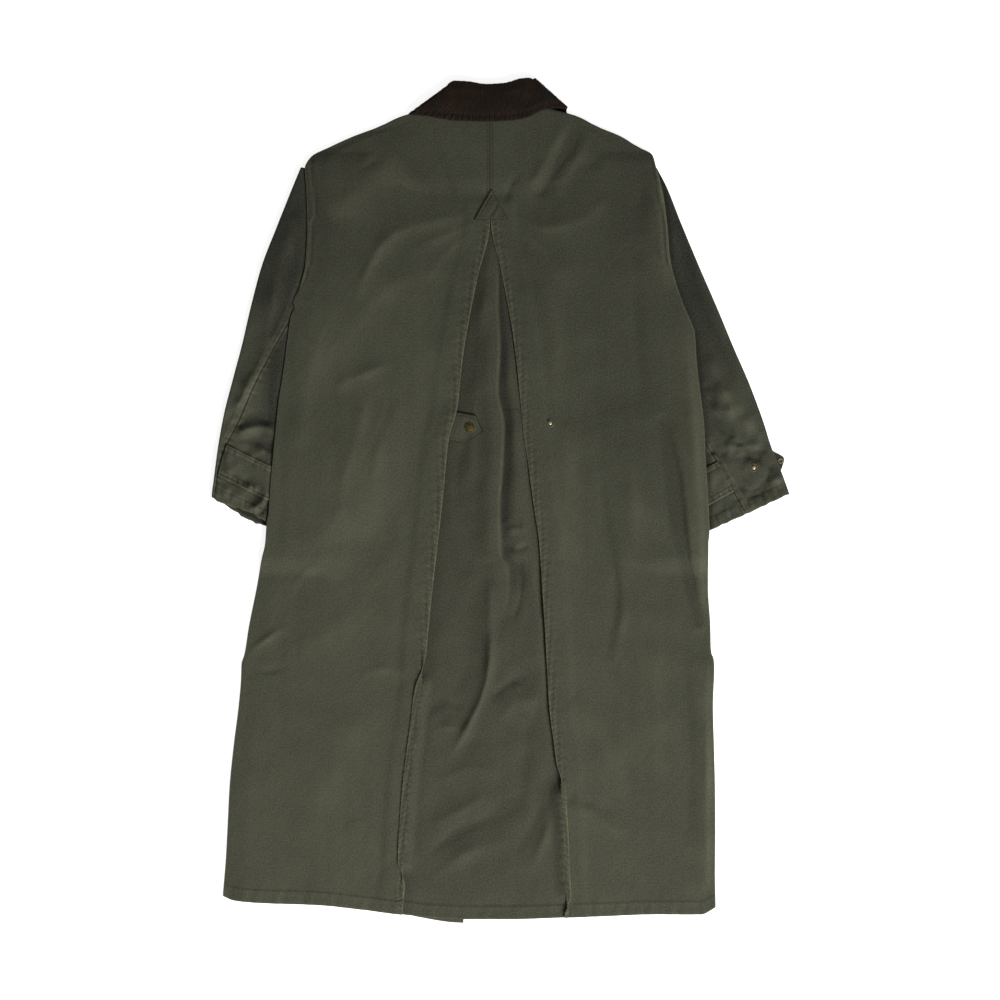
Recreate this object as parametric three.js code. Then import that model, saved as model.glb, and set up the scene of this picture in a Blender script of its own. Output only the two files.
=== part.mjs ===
// Long coat laid flat with its back up: the fronts and the folded sleeves lie beneath the back panels.
// Millimetres, +Z up, +Y towards the collar, +X towards the wearer's right.
// The origin is the middle of the coat's outline, on the surface that it lies on.
import * as THREE from "three";

// Cloth
const CLOTH = 1.2;
const STRAP_CLOTH = 1.6;
const COLLAR_CLOTH = 2.0;
const GAP = 0.3;
const LAYER = CLOTH + GAP;

// Sleeves: two layers with a narrow space between them, lifted where the cuff strap passes beneath
const SLEEVE_INSIDE = 2.6;
const SLEEVE_RADIUS = (SLEEVE_INSIDE + CLOTH) / 2;
const SLEEVE_HEIGHT = SLEEVE_INSIDE + 2 * CLOTH;
const STRAP_LIFT = STRAP_CLOTH + GAP;
const STRAP_CLOSER = 0.5;
const FRONT_SEAM = 0.7;
const SEAM_FROM_FOLD = 5;

// Body
const CENTRE = -15.2;
const COVER_RAMP = 30;
const EDGE_STRIP = 8;
const NECK_LIFT = 2.7;
const NECK_SPACE = 0.5;
const INNER_LIFT = 2 * LAYER;
const UNDERLAY_TUCK = 20;
const UNDERLAY_TOP = 450;
const UNDERLAY_RAMP = 18;
const LIP_RIDGE = 0.9;
const LIP_WIDTH = 8;
const LIP_STEP = 1.5;
const LIP_FROM = 440;
const LIP_RAMP = 40;
const BESIDE_LIP = [36, 22];
const STRIP_STAND = 0.5;
const LIP_STAND = 0.3;
const FRONT_PAST_CENTRE = -9;
const FRONT_OVERLAP = 60;
const FRONT_SHARES = [0.4, 0.75];
const OVERLAP_RAMP = [4, 32];
const CENTRE_AT_HEM = -45.7;
const CENTRE_LEAN = [597, 1200];
const HEM_LEVEL = -600;
const CHEST_LEVEL = 504;
const SHOULDER_LEVEL = 531;
const NECK_LEVEL = 588;
const INNER_NECK = 520;
const PATCH_REACH = 4;

// Steps round the bends of the cloth and round the turned metal
const FOLD_STEPS = 4;
const STRAP_STEPS = 6;
const TURNED_STEPS = 28;

// Fastenings
const SNAP_RADIUS = 7.5;
const SNAP_HEIGHT = 2.2;
const STUD_RADIUS = 6.2;
const STUD_HEIGHT = 2.4;
const STRAP_SNAP_RADIUS = 4;
const STRAP_SNAP_HEIGHT = 1.2;
const TAB_SNAP_AT = [-45.3, 109.2];
const PLEAT_STUD_AT = [75, 116.2];
const SLEEVE_STUD_AT = [380.2, 49.5];
const STRAP_SNAP_AT = [421.6, 59.5];

// A short table: each row becomes an object with the named columns.
function table(columns, rows) {
  return rows.map((row) => Object.fromEntries(columns.map((name, i) => [name, row[i]])));
}

// One row per section of the body across Y, from the hem to the neck.
// cover: where the fronts start to come down from the sleeve; rise: height of the fronts over the sleeve;
// hemShare: how far the section follows the hem's curve; loft: how far the back stands off the fronts.
const sections = table(
  ["y", "leftEdge", "leftCover", "leftPleat", "rightPleat", "rightCover", "rightEdge",
    "fold", "foldHeight", "rise", "neck", "hemShare", "loft"],
  [
    [-600, -415, -327, -149, 100, 250, 324, -82, 0.0, 0.0, 0.0, 1.0, 0.0],
    [-583, -414, -326, -147.2, 100.8, 250, 323, -82, 0.3, 0.0, 0.0, 1.0, 0.4],
    [-560, -413, -325, -146.2, 104.8, 251, 323, -82, 0.6, 0.0, 0.0, 0.9, 0.8],
    [-538, -411, -326, -154, 104.1, 251, 323, -80, 0.8, 0.0, 0.0, 0.6, 1.0],
    [-502, -409, -325, -152.5, 102.8, 251, 323, -80, 1.0, 0.0, 0.0, 0.3, 1.0],
    [-462, -407, -322, -149.5, 100.2, 250, 323, -78, 1.0, 0.0, 0.0, 0.1, 1.0],
    [-420, -405, -319, -146, 92.6, 247, 323, -75, 1.2, 0.0, 0.0, 0.0, 1.0],
    [-382, -401, -315, -141.1, 83.7, 243, 321, -66, 1.5, 0.0, 0.0, 0.0, 1.0],
    [-333, -395, -309, -134.6, 76.7, 240, 320, -39, 1.8, 0.0, 0.0, 0.0, 1.0],
    [-292, -390, -304, -129.5, 72.9, 239, 320, -25, 1.8, 0.0, 0.0, 0.0, 1.0],
    [-266, -387, -301, -125.8, 71.1, 238, 321, -17, 1.8, 0.0, 0.0, 0.0, 1.0],
    [-246, -386, -297, -115.8, 69.8, 238, 322, -17, 1.8, 0.0, 0.0, 0.0, 1.0],
    [-210, -380, -291, -108.8, 67.9, 236, 319, -16, 2.0, 0.0, 0.0, 0.0, 1.0],
    [-165, -372, -284, -104.6, 65.2, 232, 315, -17, 2.2, 0.0, 0.0, 0.0, 1.0],
    [-128, -365, -278, -100.7, 62.7, 230, 313, -7, 2.4, 0.0, 0.0, 0.0, 1.0],
    [-102, -360, -289, -97.6, 61, 245, 313, -2, 2.6, 0.0, 0.0, 0.0, 1.0],
    [-69, -353, -291, -93.7, 58.7, 289, 313, 0, 2.6, 7.3, 0.0, 0.0, 0.8],
    [-36, -350, -262, -90.1, 54.5, 262, 313, -1, 2.6, 9.1, 0.0, 0.0, 0.6],
    [6, -346, -232, -85.5, 48.6, 219, 311, 1, 2.6, 9.1, 0.0, 0.0, 0.6],
    [54, -341, -214, -80.7, 42.2, 190, 309, 3, 2.6, 9.1, 0.0, 0.0, 0.6],
    [114, -336, -184, -70.7, 33.7, 157, 306, 5, 2.6, 7.3, 0.0, 0.0, 0.6],
    [168, -329, -168, -60.8, 28.8, 127, 300, -4, 2.6, 5.3, 0.0, 0.0, 0.8],
    [231, -320, -148, -52.6, 21.4, 96, 293, 0, 2.4, 5.3, 0.0, 0.0, 1.0],
    [300, -309, -151, -39.9, 10.3, 94, 273, -7, 1.8, 5.3, 0.0, 0.0, 1.0],
    [375, -291, -163, -24.8, -5.3, 104, 254, -9, 0.0, 5.3, 0.0, 0.0, 1.0],
    [418, -289, -177, -15.6, -14.8, 118, 250, -15, 0.0, 5.3, 0.0, 0.0, 0.8],
    [450, -291, -187, -15.4, -15, 128, 246, -15, 0.0, 5.3, 0.0, 0.0, 0.6],
    [468, -292, -202, -15.4, -15, 140, 243, -15, 0.0, 5.3, 1.4, 0.0, 0.6],
    [486, -293, -217, -15.4, -15, 154, 238, -15, 0.0, 5.3, 2.7, 0.0, 0.6],
    [504, -290, -208, -15.4, -15, 159, 233, -15, 0.0, 5.3, 2.7, 0.0, 0.4],
    [518, -277, -198, -15.4, -15, 156, 229, -15, 0.0, 3.6, 2.7, 0.0, 0.3],
    [531, -253, -182, -15.4, -15, 140, 206, -15, 0.0, 0.0, 2.7, 0.0, 0.2],
    [554, -200, -145, -15.4, -15, 113, 167, -15, 0.0, 0.0, 2.7, 0.0, 0.0],
    [576, -149, -109, -15.4, -15, 77, 118, -15, 0.0, 0.0, 2.7, 0.0, 0.0],
    [588, -105, -76, -15.4, -15, 48, 75, -15, 0.0, 0.0, 2.7, 0.0, 0.0],
  ],
);

// The lower edge of the back, and of each front, as heights along X.
const backHem = table(
  ["x", "y"],
  [
    [-415, -594], [-400, -600.5], [-344, -605], [-269, -607.5], [-212, -613.5], [-151, -621],
    [-52, -628.5], [19, -628.5], [85, -626.4], [155, -624], [238, -621], [302, -621.6], [324, -611],
  ],
);
const leftFrontHem = table(
  ["x", "y"],
  [[-415, -591], [-344, -601], [-269, -604], [-151, -619], [-128, -624.5], [-55, -634.5]],
);
const rightFrontHem = table(
  ["x", "y"],
  [[-115, -620], [19, -624], [155, -620], [302, -617], [324, -607]],
);

// The front neckline: distance from the centre line and height, from the shoulder to the front edge.
const frontNeck = table(
  ["fromCentre", "y"],
  [[84, 584], [82, 572], [77, 558], [68, 545], [55, 531], [35, 517], [12, 509]],
);

// Broad soft folds of the back panels: a line from one end to the other, its width and height.
const softFolds = table(
  ["x1", "y1", "x2", "y2", "width", "height"],
  [
    [-300, 430, -255, 330, 30, 0.9],
    [-160, 420, -235, 300, 26, 1.0],
    [-95, 395, -150, 190, 26, 0.8],
    [-110, 120, -165, -60, 24, 1.2],
    [-180, 60, -230, -90, 24, 0.8],
    [-215, -190, -300, -420, 42, 0.8],
    [-365, -245, -300, -262, 18, 1.0],
    [165, 505, 95, 420, 22, 1.0],
    [60, 500, 25, 430, 20, 0.9],
    [110, 380, 90, 120, 30, 0.8],
    [262, 270, 294, 90, 20, 1.1],
    [205, 340, 225, 40, 28, 0.9],
    [100, 90, 118, -90, 24, 1.1],
    [190, 20, 205, -120, 22, 1.0],
    [265, -30, 250, -300, 26, 1.1],
    [190, -300, 215, -520, 40, 0.8],
  ],
);

// Folds of the pleat's underlay below its sharp fold.
const underlayFolds = table(
  ["x1", "y1", "x2", "y2", "width", "height"],
  [
    [52, -90, 60, -360, 12, 1.4],
    [-60, -420, 20, -390, 16, 1.6],
    [-90, -500, -10, -462, 14, 1.4],
    [-100, -300, -45, -270, 12, 0.9],
    [30, -440, 68, -540, 16, 1.5],
  ],
);

// Sleeve sections from the shoulder to the cuff: the outer and inner fold, and the back seam's place
// as a share of the width from the outer fold.
const sleeveColumns = ["outerX", "outerY", "innerX", "innerY", "seam", "lift"];
const leftSleeve = table(sleeveColumns, [
  [-299, 500, -221, 486, 0.5, 0],
  [-311, 471, -191, 450, 0.45, 0],
  [-335, 411, -167, 375, 0.4, 0],
  [-358, 351, -155, 300, 0.33, 0],
  [-374, 291, -152, 231, 0.27, 0],
  [-388, 231, -172, 168, 0.2, 0],
  [-400, 186, -188, 114, 0.155, 0],
  [-415, 126, -218, 54, 0.115, 1],
  [-423, 81, -236, 6, 0.055, 1],
  [-429, 36, -266, -36, 0.03, 1],
  [-433, 4, -295, -63, 0.03, 1],
]);
const rightSleeve = table(sleeveColumns, [
  [235, 500, 163, 486, 0.45, 0],
  [250, 471, 132, 450, 0.45, 0],
  [274, 411, 108, 375, 0.45, 0],
  [299, 351, 98, 300, 0.45, 0],
  [325, 291, 100, 231, 0.45, 0],
  [350, 231, 131, 168, 0.45, 0],
  [376, 171, 161, 114, 0.45, 0],
  [396, 116, 194, 54, 0.44, 1],
  [407, 81, 223, 6, 0.42, 1],
  [425, 36, 266, -36, 0.44, 1],
  [434, 10, 293, -55, 0.457, 1],
]);

// Cuff straps: three lines along each, from the sewn end over the sleeve's inner fold to the end beneath.
const strapColumns = ["sewnX", "sewnY", "innerX", "innerY", "endX", "endY"];
const leftStrap = table(strapColumns, [
  [-410, 84, -240.2, 0.6, -395, 70],
  [-417, 61, -254, -18.7, -398, 46],
  [-423, 37.5, -268.2, -38.7, -402, 24],
]);
const rightStrap = table(strapColumns, [
  [326.2, 58.5, 225, 2, 409, 75],
  [338, 36, 244.5, -16.5, 427, 62],
  [350.2, 13.5, 262.5, -35.3, 420, 39],
]);

// Collar stations round the neck: the neck seam, the line it turns over at and the outer edge, in plan,
// the way it faces (90 up, -90 down, 0 outwards at the side) and the outward direction at that side.
const collarStations = table(
  ["seamX", "seamY", "rollX", "rollY", "edgeX", "edgeY", "facing", "outX", "outY"],
  [
    [-49, 521, -38, 545, -80, 494, -90, -0.62, 0.785],
    [-68, 536, -52, 568, -112, 514, -90, -0.62, 0.785],
    [-91, 563, -66, 601, -134, 549, -90, -0.62, 0.785],
    [-100, 590, -79, 622, -137, 579, -90, -0.62, 0.785],
    [-100, 590, -79, 622, -137, 579, -45, -0.62, 0.785],
    [-100, 590, -79, 622, -137, 579, 0, -0.62, 0.785],
    [-100, 590, -79, 622, -137, 579, 45, -0.62, 0.785],
    [-98, 589.5, -76, 624, -132, 578, 90, -0.62, 0.785],
    [-84, 589.5, -68, 629.5, -110, 576, 90, 0, 1],
    [-62, 589.5, -47, 628.5, -64, 569, 90, 0, 1],
    [-38, 589.5, -21, 624.5, -19, 568, 90, 0, 1],
    [-10, 589.5, 6, 626, 16, 569.5, 90, 0, 1],
    [22, 589.5, 32, 633, 41, 574, 90, 0, 1],
    [48, 589.5, 44, 634, 64, 585, 90, 0, 1],
    [66, 589.5, 48, 632, 86, 588, 90, 0.62, 0.785],
    [70, 590, 50, 631, 99, 586, 45, 0.62, 0.785],
    [70, 590, 50, 631, 99, 586, 0, 0.62, 0.785],
    [70, 590, 50, 631, 99, 586, -45, 0.62, 0.785],
    [70, 590, 50, 631, 100, 584, -90, 0.62, 0.785],
    [61, 563, 40, 601, 104, 549, -90, 0.62, 0.785],
    [38, 537, 24, 568, 84, 514, -90, 0.62, 0.785],
    [19, 523, 10, 545, 52, 494, -90, 0.62, 0.785],
  ],
);

// Triangular patch over the centre-back seam, and the pointed tab: left and right side at each height.
const patchRows = table(
  ["y", "left", "right"],
  [[420.8, -38.7, 12.5], [432, -32.4, 6.2], [443.5, -25.8, -0.2], [455, -19.2, -6.6], [466, -13.9, -11.9]],
);
const tabRows = table(
  ["nearX", "nearY", "farX", "farY"],
  [[-74.2, 90.2, -52.2, 85], [-71.7, 102, -30, 100.5], [-69, 114, -25.7, 104.2], [-66.5, 124, -31, 116],
    [-63.8, 134.2, -36, 127.8]],
);

const lerp = (a, b, t) => a + (b - a) * t;
const smooth = (t) => {
  const s = Math.min(1, Math.max(0, t));
  return s * s * (3 - 2 * s);
};

// The value of a column between the rows of a table.
function between(rows, key, value, column) {
  const rising = rows[0][key] < rows[rows.length - 1][key];
  const ordered = rising ? rows : [...rows].reverse();
  if (value <= ordered[0][key]) return ordered[0][column];
  for (let i = 1; i < ordered.length; i++) {
    const [a, b] = [ordered[i - 1], ordered[i]];
    if (value <= b[key]) return lerp(a[column], b[column], (value - a[key]) / (b[key] - a[key]));
  }
  return ordered[ordered.length - 1][column];
}

// The height of a set of soft folds at a point: each is a rounded ridge along a line that fades at its ends.
function foldHeight(folds, x, y) {
  let height = 0;
  for (const f of folds) {
    const [dx, dy] = [f.x2 - f.x1, f.y2 - f.y1];
    const length = Math.hypot(dx, dy);
    const along = ((x - f.x1) * dx + (y - f.y1) * dy) / length;
    const across = ((x - f.x1) * dy - (y - f.y1) * dx) / length;
    const end = smooth(1 + Math.min(along, length - along) / (1.5 * f.width));
    height += f.height * end * Math.exp(-((across / f.width) ** 2));
  }
  return height;
}

// A closed sheet between two equal grids of points, turned so that its faces point outwards.
function sheet(upper, under) {
  const rows = upper.length;
  const columns = upper[0].length;
  const positions = [...upper.flat(2), ...under.flat(2)];
  const top = (r, c) => r * columns + c;
  const low = (r, c) => rows * columns + top(r, c);
  const index = [];
  const quad = (a, b, c, d) => index.push(a, b, c, a, c, d);
  for (let r = 0; r < rows - 1; r++) {
    for (let c = 0; c < columns - 1; c++) {
      quad(top(r, c), top(r, c + 1), top(r + 1, c + 1), top(r + 1, c));
      const [a, b, d, e] = [low(r, c), low(r, c + 1), low(r + 1, c + 1), low(r + 1, c)];
      index.push(a, d, b, a, e, d);
    }
    quad(top(r, 0), top(r + 1, 0), low(r + 1, 0), low(r, 0));
    quad(top(r + 1, columns - 1), top(r, columns - 1), low(r, columns - 1), low(r + 1, columns - 1));
  }
  for (let c = 0; c < columns - 1; c++) {
    quad(top(0, c + 1), top(0, c), low(0, c), low(0, c + 1));
    quad(top(rows - 1, c), top(rows - 1, c + 1), low(rows - 1, c + 1), low(rows - 1, c));
  }
  if (volume(positions, index) < 0) index.reverse();
  const geometry = new THREE.BufferGeometry();
  geometry.setAttribute("position", new THREE.Float32BufferAttribute(positions, 3));
  geometry.setIndex(index);
  geometry.computeVertexNormals();
  return geometry;
}

function volume(positions, index) {
  const p = (i) => new THREE.Vector3().fromArray(positions, 3 * index[i]);
  let sum = 0;
  for (let i = 0; i < index.length; i += 3) sum += p(i).dot(p(i + 1).cross(p(i + 2)));
  return sum / 6;
}

// A sheet of even thickness about a grid of points, offset along the grid's own normals.
function thickSheet(grid, thickness) {
  const rows = grid.length;
  const columns = grid[0].length;
  const at = (r, c) => new THREE.Vector3(...grid[r][c]);
  const moved = (side) =>
    grid.map((row, r) =>
      row.map((_, c) => {
        const across = at(r, Math.min(c + 1, columns - 1)).sub(at(r, Math.max(c - 1, 0)));
        const along = at(Math.min(r + 1, rows - 1), c).sub(at(Math.max(r - 1, 0), c));
        const normal = across.cross(along).normalize().multiplyScalar((side * thickness) / 2);
        return at(r, c).add(normal).toArray();
      }),
    );
  return sheet(moved(1), moved(-1));
}

// The height of a grid of points at a place in plan, from the two triangles of each of its cells.
function heightOn(grid, x, y) {
  const inside = (a, b, c) => {
    const area = (b[0] - a[0]) * (c[1] - a[1]) - (c[0] - a[0]) * (b[1] - a[1]);
    const u = ((b[0] - x) * (c[1] - y) - (c[0] - x) * (b[1] - y)) / area;
    const v = ((c[0] - x) * (a[1] - y) - (a[0] - x) * (c[1] - y)) / area;
    const w = 1 - u - v;
    return Math.min(u, v, w) >= -1e-6 ? u * a[2] + v * b[2] + w * c[2] : null;
  };
  for (let r = 0; r < grid.length - 1; r++)
    for (let c = 0; c < grid[0].length - 1; c++) {
      const [p, q, s, t] = [grid[r][c], grid[r][c + 1], grid[r + 1][c + 1], grid[r + 1][c]];
      const height = inside(p, q, s) ?? inside(p, s, t);
      if (height !== null) return height;
    }
  return null;
}

const raise = (grid, height) => grid.map((row) => row.map(([x, y, z]) => [x, y, z + height]));

// The fronts' underside: over the sleeve at the side, on the surface in the middle, lifted at the collar.
const frontBase = (s, covered) => Math.max(s.neck, covered ? s.rise : 0);

const hemmed = (s, x, hem) => s.y + s.hemShare * (between(hem, "x", x, "y") - HEM_LEVEL);

// The columns of one half of the body at a section, from the outer edge towards the centre.
function outerColumns(s, side) {
  const edge = side < 0 ? s.leftEdge : s.rightEdge;
  const cover = side < 0 ? s.leftCover : s.rightCover;
  const pleat = side < 0 ? s.leftPleat : s.rightPleat;
  const ramp = Math.min(COVER_RAMP, 0.2 * Math.abs(pleat - edge));
  const strip = edge - side * EDGE_STRIP;
  return { edge, pleat, places: [edge, strip, lerp(strip, cover, 0.5), cover, cover - side * ramp] };
}

// Back panel: the outer columns, then over the fronts to the pleat edge, which is a narrow ridge.
function backGrid(side) {
  const under = [];
  const upper = [];
  for (const s of sections) {
    const { pleat, places } = outerColumns(s, side);
    const last = places[4];
    const near = pleat + side * BESIDE_LIP[0];
    const xs = [...places, lerp(last, near, 1 / 3), lerp(last, near, 2 / 3), near,
      pleat + side * BESIDE_LIP[1], pleat + side * (LIP_WIDTH + LIP_STEP), pleat + side * LIP_WIDTH, pleat];
    const open = smooth((UNDERLAY_TOP - s.y + UNDERLAY_RAMP) / UNDERLAY_RAMP);
    const ridge = LIP_RIDGE * smooth((LIP_FROM - s.y) / LIP_RAMP);
    const row = xs.map((x, c) => {
      const y = hemmed(s, x, backHem);
      const overFronts = frontBase(s, c < 4) + (c > 4 ? INNER_LIFT : LAYER);
      const overStand = (NECK_SPACE * s.neck) / NECK_LIFT;
      const overUnderlay = c > 7 ? open * LAYER : 0;
      const stand = s.loft * (c === 0 ? 0 : c === 1 ? STRIP_STAND : c > 7 ? LIP_STAND : 1);
      const soft = c === 0 || c > 8 ? 0 : s.loft * foldHeight(softFolds, x, y);
      return [x, y, overFronts + overStand + overUnderlay + stand + soft];
    });
    under.push(row);
    upper.push(row.map(([x, y, z], c) => [x, y, z + CLOTH + (c > 9 ? ridge : 0)]));
  }
  return side < 0 ? { upper, under } : { upper: mirrorRows(upper), under: mirrorRows(under) };
}

const mirrorRows = (grid) => grid.map((row) => [...row].reverse());

// Front panel: the outer columns shared with the back, then flat to its own edge at the centre.
// The right front steps over the left one before it reaches the centre. Both end at the neckline.
function frontGrid(side) {
  const top = sections.length - 1;
  const blendFrom = sections.findIndex((s) => s.y === SHOULDER_LEVEL);
  const hem = side < 0 ? leftFrontHem : rightFrontHem;
  const columnsOf = (s) => {
    const { places } = outerColumns(s, side);
    const centre = lerp(CENTRE, CENTRE_AT_HEM, smooth((CENTRE_LEAN[0] - s.y) / CENTRE_LEAN[1]));
    const leftEdge = centre + FRONT_PAST_CENTRE;
    const inner = side < 0
      ? [...FRONT_SHARES.map((t) => lerp(places[4], leftEdge, t)), leftEdge]
      : [leftEdge + OVERLAP_RAMP[1], leftEdge + OVERLAP_RAMP[0], leftEdge - FRONT_OVERLAP];
    return [...places, ...inner];
  };
  const neckAt = (c, s) => {
    const row = frontNeck[c - 1];
    if (c < 5) return [CENTRE + side * row.fromCentre, row.y];
    const x = columnsOf(s)[c];
    return [x, Math.min(INNER_NECK, between(frontNeck, "fromCentre", Math.abs(x - CENTRE), "y"))];
  };
  const grid = sections.map((s, r) => {
    const places = columnsOf(s);
    return places.map((x, c) => {
      let place = [x, hemmed(s, x, hem)];
      const t = (s.y - SHOULDER_LEVEL) / (NECK_LEVEL - SHOULDER_LEVEL);
      if (c > 4 && s.y > CHEST_LEVEL) {
        const goal = neckAt(c, sections[top])[1];
        place = [x, lerp(CHEST_LEVEL, goal, (s.y - CHEST_LEVEL) / (NECK_LEVEL - CHEST_LEVEL))];
      } else if (c > 0 && r > blendFrom) {
        const start = columnsOf(sections[blendFrom]);
        const goal = neckAt(c, s);
        const edgeShift = places[0] - lerp(start[0], columnsOf(sections[top])[0], t);
        place = [lerp(start[c], goal[0], t) + edgeShift * (1 - c / 5),
          lerp(SHOULDER_LEVEL, goal[1], t)];
      }
      const over = side > 0 && c > 5 ? LAYER : 0;
      return [...place, frontBase(s, c < 4) + over];
    });
  });
  return side < 0 ? grid : mirrorRows(grid);
}

// The sharp fold of the underlay: places beside its crest, with the share of its height at each.
const crest = table(["away", "height"], [[-6, 0.8], [-1, 1], [2, 0.1]]);
const CREST_MARGIN = [12, 9];
const UNDERLAY_SHARES = [0.5, 0.4, 0.7];

// The pleat's underlay: flat at its hidden edges, its left part folded over its right one.
function underlayGrid() {
  return sections
    .filter((s) => s.y <= UNDERLAY_TOP)
    .map((s) => {
      const left = Math.min(s.leftPleat, s.fold - CREST_MARGIN[0]);
      const right = Math.max(s.rightPleat, s.fold + CREST_MARGIN[1]);
      const [beside, ...after] = UNDERLAY_SHARES;
      const xs = [s.leftPleat - UNDERLAY_TUCK, left, lerp(left, s.fold, beside),
        ...crest.map((k) => s.fold + k.away), ...after.map((t) => lerp(s.fold, right, t)), right,
        s.rightPleat + UNDERLAY_TUCK];
      return xs.map((x, c) => {
        const y = hemmed(s, x, backHem);
        const sharp = s.foldHeight * (crest[c - 3]?.height ?? 0);
        const soft = c > 1 && c < 8 ? s.loft * foldHeight(underlayFolds, x, y) : 0;
        return [x, y, INNER_LIFT + sharp + soft];
      });
    });
}

// Where the points of a flat run of cloth lie between its ends.
const SLEEVE_UPPER = [0, 0.33, 0.67];
const STRAP_UPPER = [0, 0.3, 0.65];
const FLAT_LOWER = [0.5, 1];
const COLLAR_INNER = [0, 0.5];
const COLLAR_OUTER = [0.33, 0.67, 1];

// Points round a flattened sleeve section between two distances from its outer fold, on the way given:
// from the upper face over the outer fold to the lower face, or over the inner fold.
function sleeveArc(row, fromSeam, toSeam, overOuter) {
  const [dx, dy] = [row.innerX - row.outerX, row.innerY - row.outerY];
  const width = Math.hypot(dx, dy);
  const middle = CLOTH / 2 + SLEEVE_RADIUS + row.lift * STRAP_LIFT;
  const bend = SLEEVE_RADIUS + CLOTH / 2;
  const turn = overOuter ? bend : width - bend;
  const way = overOuter ? -1 : 1;
  const point = (d, z) => [row.outerX + (dx * d) / width, row.outerY + (dy * d) / width, z];
  const points = [];
  for (const t of SLEEVE_UPPER) points.push(point(lerp(fromSeam, turn, t), middle + SLEEVE_RADIUS));
  for (let i = 0; i <= FOLD_STEPS; i++) {
    const angle = (Math.PI * i) / FOLD_STEPS;
    const out = way * SLEEVE_RADIUS * Math.sin(angle);
    points.push(point(turn + out, middle + SLEEVE_RADIUS * Math.cos(angle)));
  }
  for (const t of FLAT_LOWER) points.push(point(lerp(turn, toSeam, t), middle - SLEEVE_RADIUS));
  return points;
}

function sleevePieces(rows) {
  const seams = rows.map((row) => {
    const width = Math.hypot(row.innerX - row.outerX, row.innerY - row.outerY);
    return { back: Math.max(row.seam * width, SEAM_FROM_FOLD), front: FRONT_SEAM * width };
  });
  const half = GAP / 2;
  return {
    top: rows.map((row, i) => sleeveArc(row, seams[i].back - half, seams[i].front - half, true)),
    under: rows.map((row, i) => sleeveArc(row, seams[i].back + half, seams[i].front + half, false)),
  };
}

// A cuff strap: along the sleeve's upper face, round its inner fold and back beneath it.
function strapGrid(lines) {
  const upperZ = SLEEVE_HEIGHT + STRAP_LIFT + GAP + STRAP_CLOTH / 2;
  const lowerZ = STRAP_CLOTH / 2;
  const radius = (upperZ - lowerZ) / 2;
  return lines.map((line) => {
    const inward = new THREE.Vector2(line.innerX - line.sewnX, line.innerY - line.sewnY).normalize();
    const back = SLEEVE_RADIUS + CLOTH / 2 - STRAP_CLOSER;
    const turn = [line.innerX - inward.x * back, line.innerY - inward.y * back];
    const points = STRAP_UPPER.map((t) =>
      [lerp(line.sewnX, turn[0], t), lerp(line.sewnY, turn[1], t), upperZ]);
    for (let i = 0; i <= STRAP_STEPS; i++) {
      const angle = (Math.PI * i) / STRAP_STEPS;
      const out = radius * Math.sin(angle);
      const z = lowerZ + radius * (1 + Math.cos(angle));
      points.push([turn[0] + inward.x * out, turn[1] + inward.y * out, z]);
    }
    for (const t of FLAT_LOWER)
      points.push([lerp(turn[0], line.endX, t), lerp(turn[1], line.endY, t), lowerZ]);
    return points;
  });
}

// The collar: from the neck seam up the inside, over at the top and down the outside.
function collarGrid() {
  const frontMiddle = NECK_LIFT + CLOTH / 2;
  const backMiddle = NECK_LIFT + INNER_LIFT + NECK_SPACE + CLOTH / 2;
  const core = (frontMiddle + backMiddle) / 2;
  const inner = (backMiddle - frontMiddle) / 2;
  const outer = core - COLLAR_CLOTH / 2;
  const bend = (outer - inner) / 2;
  return collarStations.map((k) => {
    const angle = THREE.MathUtils.degToRad(k.facing);
    const facing = [k.outX * Math.cos(angle), k.outY * Math.cos(angle), Math.sin(angle)];
    const up = new THREE.Vector2(k.rollX - k.seamX, k.rollY - k.seamY).normalize();
    const reach = bend + COLLAR_CLOTH / 2;
    const roll = [k.rollX - up.x * reach, k.rollY - up.y * reach];
    const point = (x, y, off) => [x + facing[0] * off, y + facing[1] * off, core + facing[2] * off];
    const points = COLLAR_INNER.map((t) =>
      point(lerp(k.seamX, roll[0], t), lerp(k.seamY, roll[1], t), inner));
    for (let i = 0; i <= FOLD_STEPS; i++) {
      const turn = (Math.PI * i) / FOLD_STEPS;
      const ahead = bend * Math.sin(turn);
      const off = inner + bend * (1 - Math.cos(turn));
      points.push(point(roll[0] + up.x * ahead, roll[1] + up.y * ahead, off));
    }
    for (const t of COLLAR_OUTER)
      points.push(point(lerp(roll[0], k.edgeX, t), lerp(roll[1], k.edgeY, t), outer));
    return points;
  });
}

// A small round part turned about an upright axis, from its half outline.
function turned(outline, [x, y], z) {
  const points = outline.map(([radius, height]) => new THREE.Vector2(radius, height));
  return new THREE.LatheGeometry(points, TURNED_STEPS).rotateX(Math.PI / 2).translate(x, y, z);
}

const capOutline = (radius, height) => [
  [0, 0], [radius, 0], [radius, 0.35 * height], [0.86 * radius, 0.75 * height],
  [0.7 * radius, 0.8 * height], [0.55 * radius, height], [0, height],
];
const studOutline = (radius, height) => [
  [0, 0], [radius, 0], [radius, 0.3 * height], [0.8 * radius, 0.5 * height], [0.52 * radius, 0.42 * height],
  [0.44 * radius, height], [0, height],
];
const ringOutline = (radius, height) => [
  [0, 0], [radius, 0], [radius, 0.7 * height], [0.85 * radius, height],
  [0.6 * radius, height], [0.5 * radius, 0.5 * height], [0, 0.5 * height],
];

// Materials
const cloth = (color) => new THREE.MeshStandardMaterial({ color, roughness: 0.9, metalness: 0 });
const bodyCloth = () => cloth(0x4a4c3f);
const sleeveCloth = () => cloth(0x3a3c31);
const underlayCloth = () => cloth(0x44453a);
const corduroy = () => cloth(0x201a15);
const brass = (color) => new THREE.MeshStandardMaterial({ color, roughness: 0.45, metalness: 0.8 });

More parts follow.
